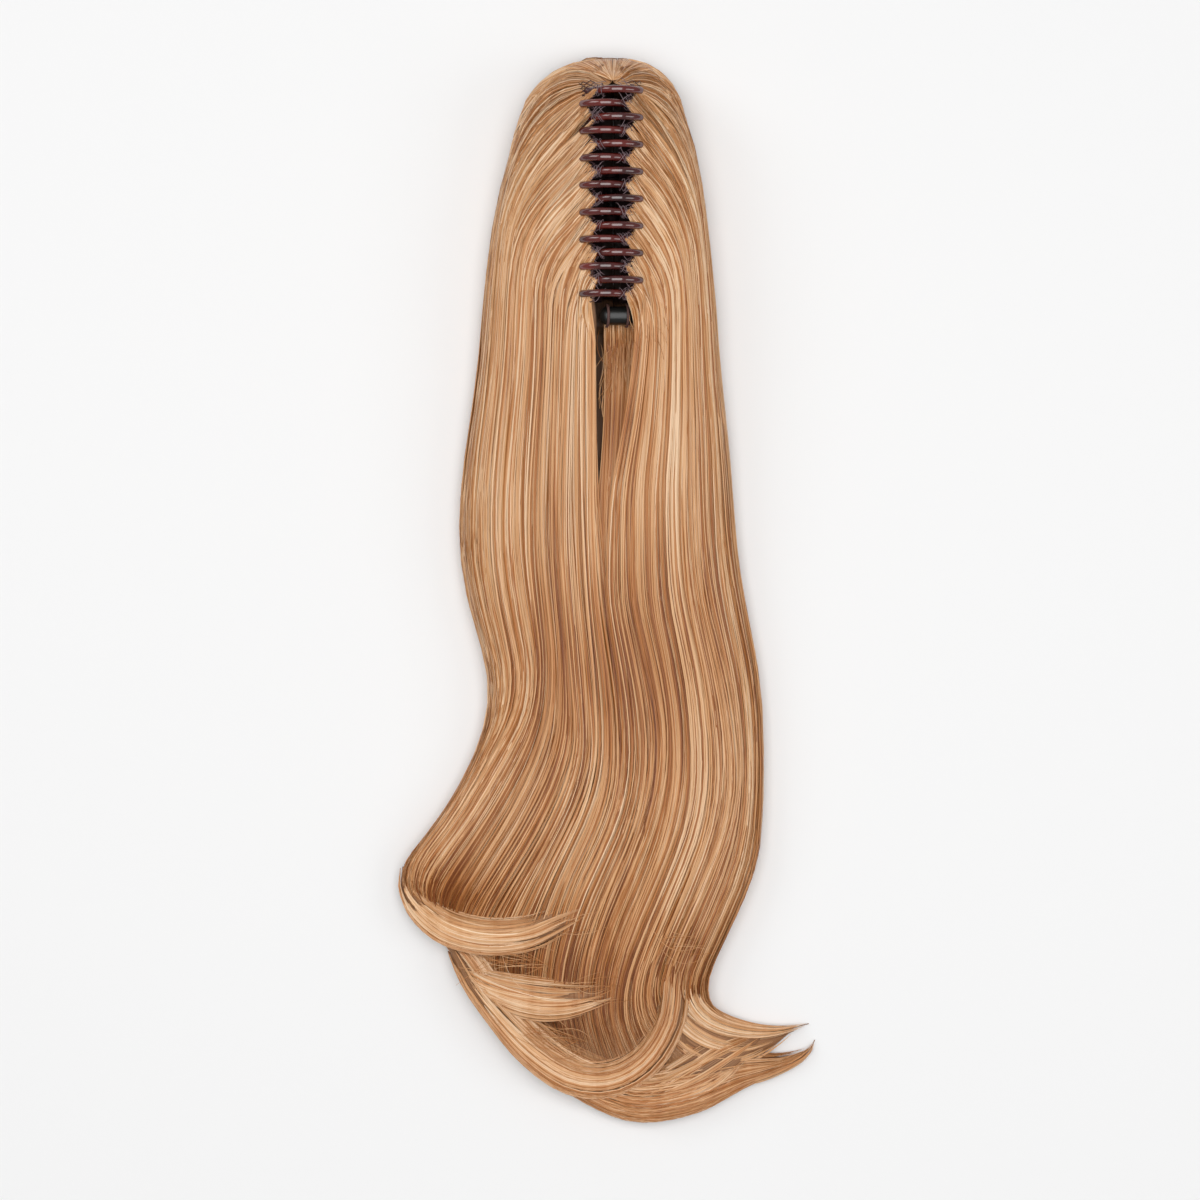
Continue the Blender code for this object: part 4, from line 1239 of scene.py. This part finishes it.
# The cap at the claw's lower end, and the brown threads over it
cap = {"corner": 0.0041, "threadOut": 0.00095, "threadReach": 0.0050, "threadBow": 0.0010,
       "plies": 3, "plyTurns": 7, "plyOut": 0.00036, "plyRadius": 0.00040}


def makeCap():
    low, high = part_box("end_cap")
    middle = (Vector(low) + Vector(high)) / 2
    size = Vector(high) - Vector(low)
    bm = bmesh.new()
    bmesh.ops.create_cube(bm, size=1.0)
    bmesh.ops.scale(bm, vec=size, verts=bm.verts[:])
    bmesh.ops.bevel(bm, geom=bm.edges[:], offset=cap["corner"], segments=6, profile=0.5,
                    affect="EDGES", material=-1)
    bmesh.ops.translate(bm, vec=middle, verts=bm.verts[:])
    piece = finishPiece(meshPiece("capShell", bm), blackGloss, "root")
    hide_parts("end_cap")


def capLoop(name, node):
    # plies laid round each other, bent over the cap
    low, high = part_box(node)
    x = (low[0] + high[0]) / 2
    capLow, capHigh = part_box("end_cap")
    out = cap["threadOut"]
    corner = cap["corner"]
    top = capHigh[2]
    foot = top - cap["threadReach"]
    spine = [(x, capHigh[1] + out, foot), (x, capHigh[1] + out, top - corner)]
    for centreY, first in ((capHigh[1] - corner, 0), (capLow[1] + corner, 90)):
        for bend in range(0, 91, 15):
            turn = math.radians(first + bend)
            spine.append((x + cap["threadBow"] * math.sin(turn),
                          centreY + (corner + out) * math.cos(turn),
                          top - corner + (corner + out) * math.sin(turn)))
    spine.append((x, capLow[1] - out, foot))
    places = smoothLine(spine, np.linspace(0, 1, 60))
    strings = []
    for ply in range(cap["plies"]):
        string = []
        for k, point in enumerate(places):
            turn = 2 * math.pi * (k / 60 * cap["plyTurns"] + ply / cap["plies"])
            string.append(point + np.array((math.cos(turn), 0, 0)) * cap["plyOut"]
                          + np.array((0, 0.5, 0.5)) * math.sin(turn) * cap["plyOut"])
        strings.append(string)
    piece = threadPiece(name, strings, cap["plyRadius"], 6, brownThread, "root")
    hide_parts(node)


makeCap()
capLoop("upperCapLoop", "upper_thread_loop")
capLoop("lowerCapLoop", "lower_thread_loop")
for node in ("hinge_pin", "hinge_spring"):
    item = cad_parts[node]
    for slotPlace in item.material_slots:
        slotPlace.material = wireSteel
print("cap and pin made")


# Floor, lights and camera
studio = {
    "floorShade": 0.885, "hairLevel": 0.030, "view": 0.589, "centre": (-0.0055, -0.00345),
    "lens": 120.0, "sensor": 36.0, "worldStrength": 0.26,
    # each light: its place, its size in metres and its power
    "lights": {"topLight": ((0.0, 0.10, 2.3), 2.2, 43.4),
               "leftLight": ((-2.2, 1.2, 1.8), 1.4, 16.3),
               "rightLight": ((2.2, -0.2, 1.6), 1.2, 9.5)},
}


def makeStudio():
    bm = bmesh.new()
    bmesh.ops.create_grid(bm, x_segments=2, y_segments=2, size=6.0)
    mesh = bpy.data.meshes.new("floor")
    bm.to_mesh(mesh)
    bm.free()
    floor = newObject("floor", mesh)
    paint = Shader("floorPaint")
    shade = studio["floorShade"]
    paint.set(Base_Color=(shade, shade, shade, 1.0), Roughness=0.9)
    floor.data.materials.append(paint.material)
    for name, (place, size, power) in studio["lights"].items():
        light = bpy.data.lights.new(name, "AREA")
        light.energy = power
        light.size = size
        lamp = bpy.data.objects.new(name, light)
        lamp.location = place
        lamp.rotation_euler = (-Vector(place)).to_track_quat("-Z", "Y").to_euler()
        bpy.context.scene.collection.objects.link(lamp)
    world = bpy.data.worlds.new("studioWorld")
    world.use_nodes = True
    sky = world.node_tree.nodes["Background"].inputs
    sky["Color"].default_value = (1, 1, 1, 1)
    sky["Strength"].default_value = studio["worldStrength"]
    bpy.context.scene.world = world
    camera = bpy.data.cameras.new("camera")
    camera.lens = studio["lens"]
    camera.sensor_width = studio["sensor"]
    camera.clip_end = 50.0
    lookout = bpy.data.objects.new("camera", camera)
    distance = studio["view"] * camera.lens / camera.sensor_width
    lookout.location = (*studio["centre"], studio["hairLevel"] + distance)
    bpy.context.scene.collection.objects.link(lookout)
    bpy.context.scene.camera = lookout
    bpy.context.scene.view_settings.view_transform = "Standard"
    bpy.context.scene.view_settings.look = "None"


makeStudio()
print("studio made")
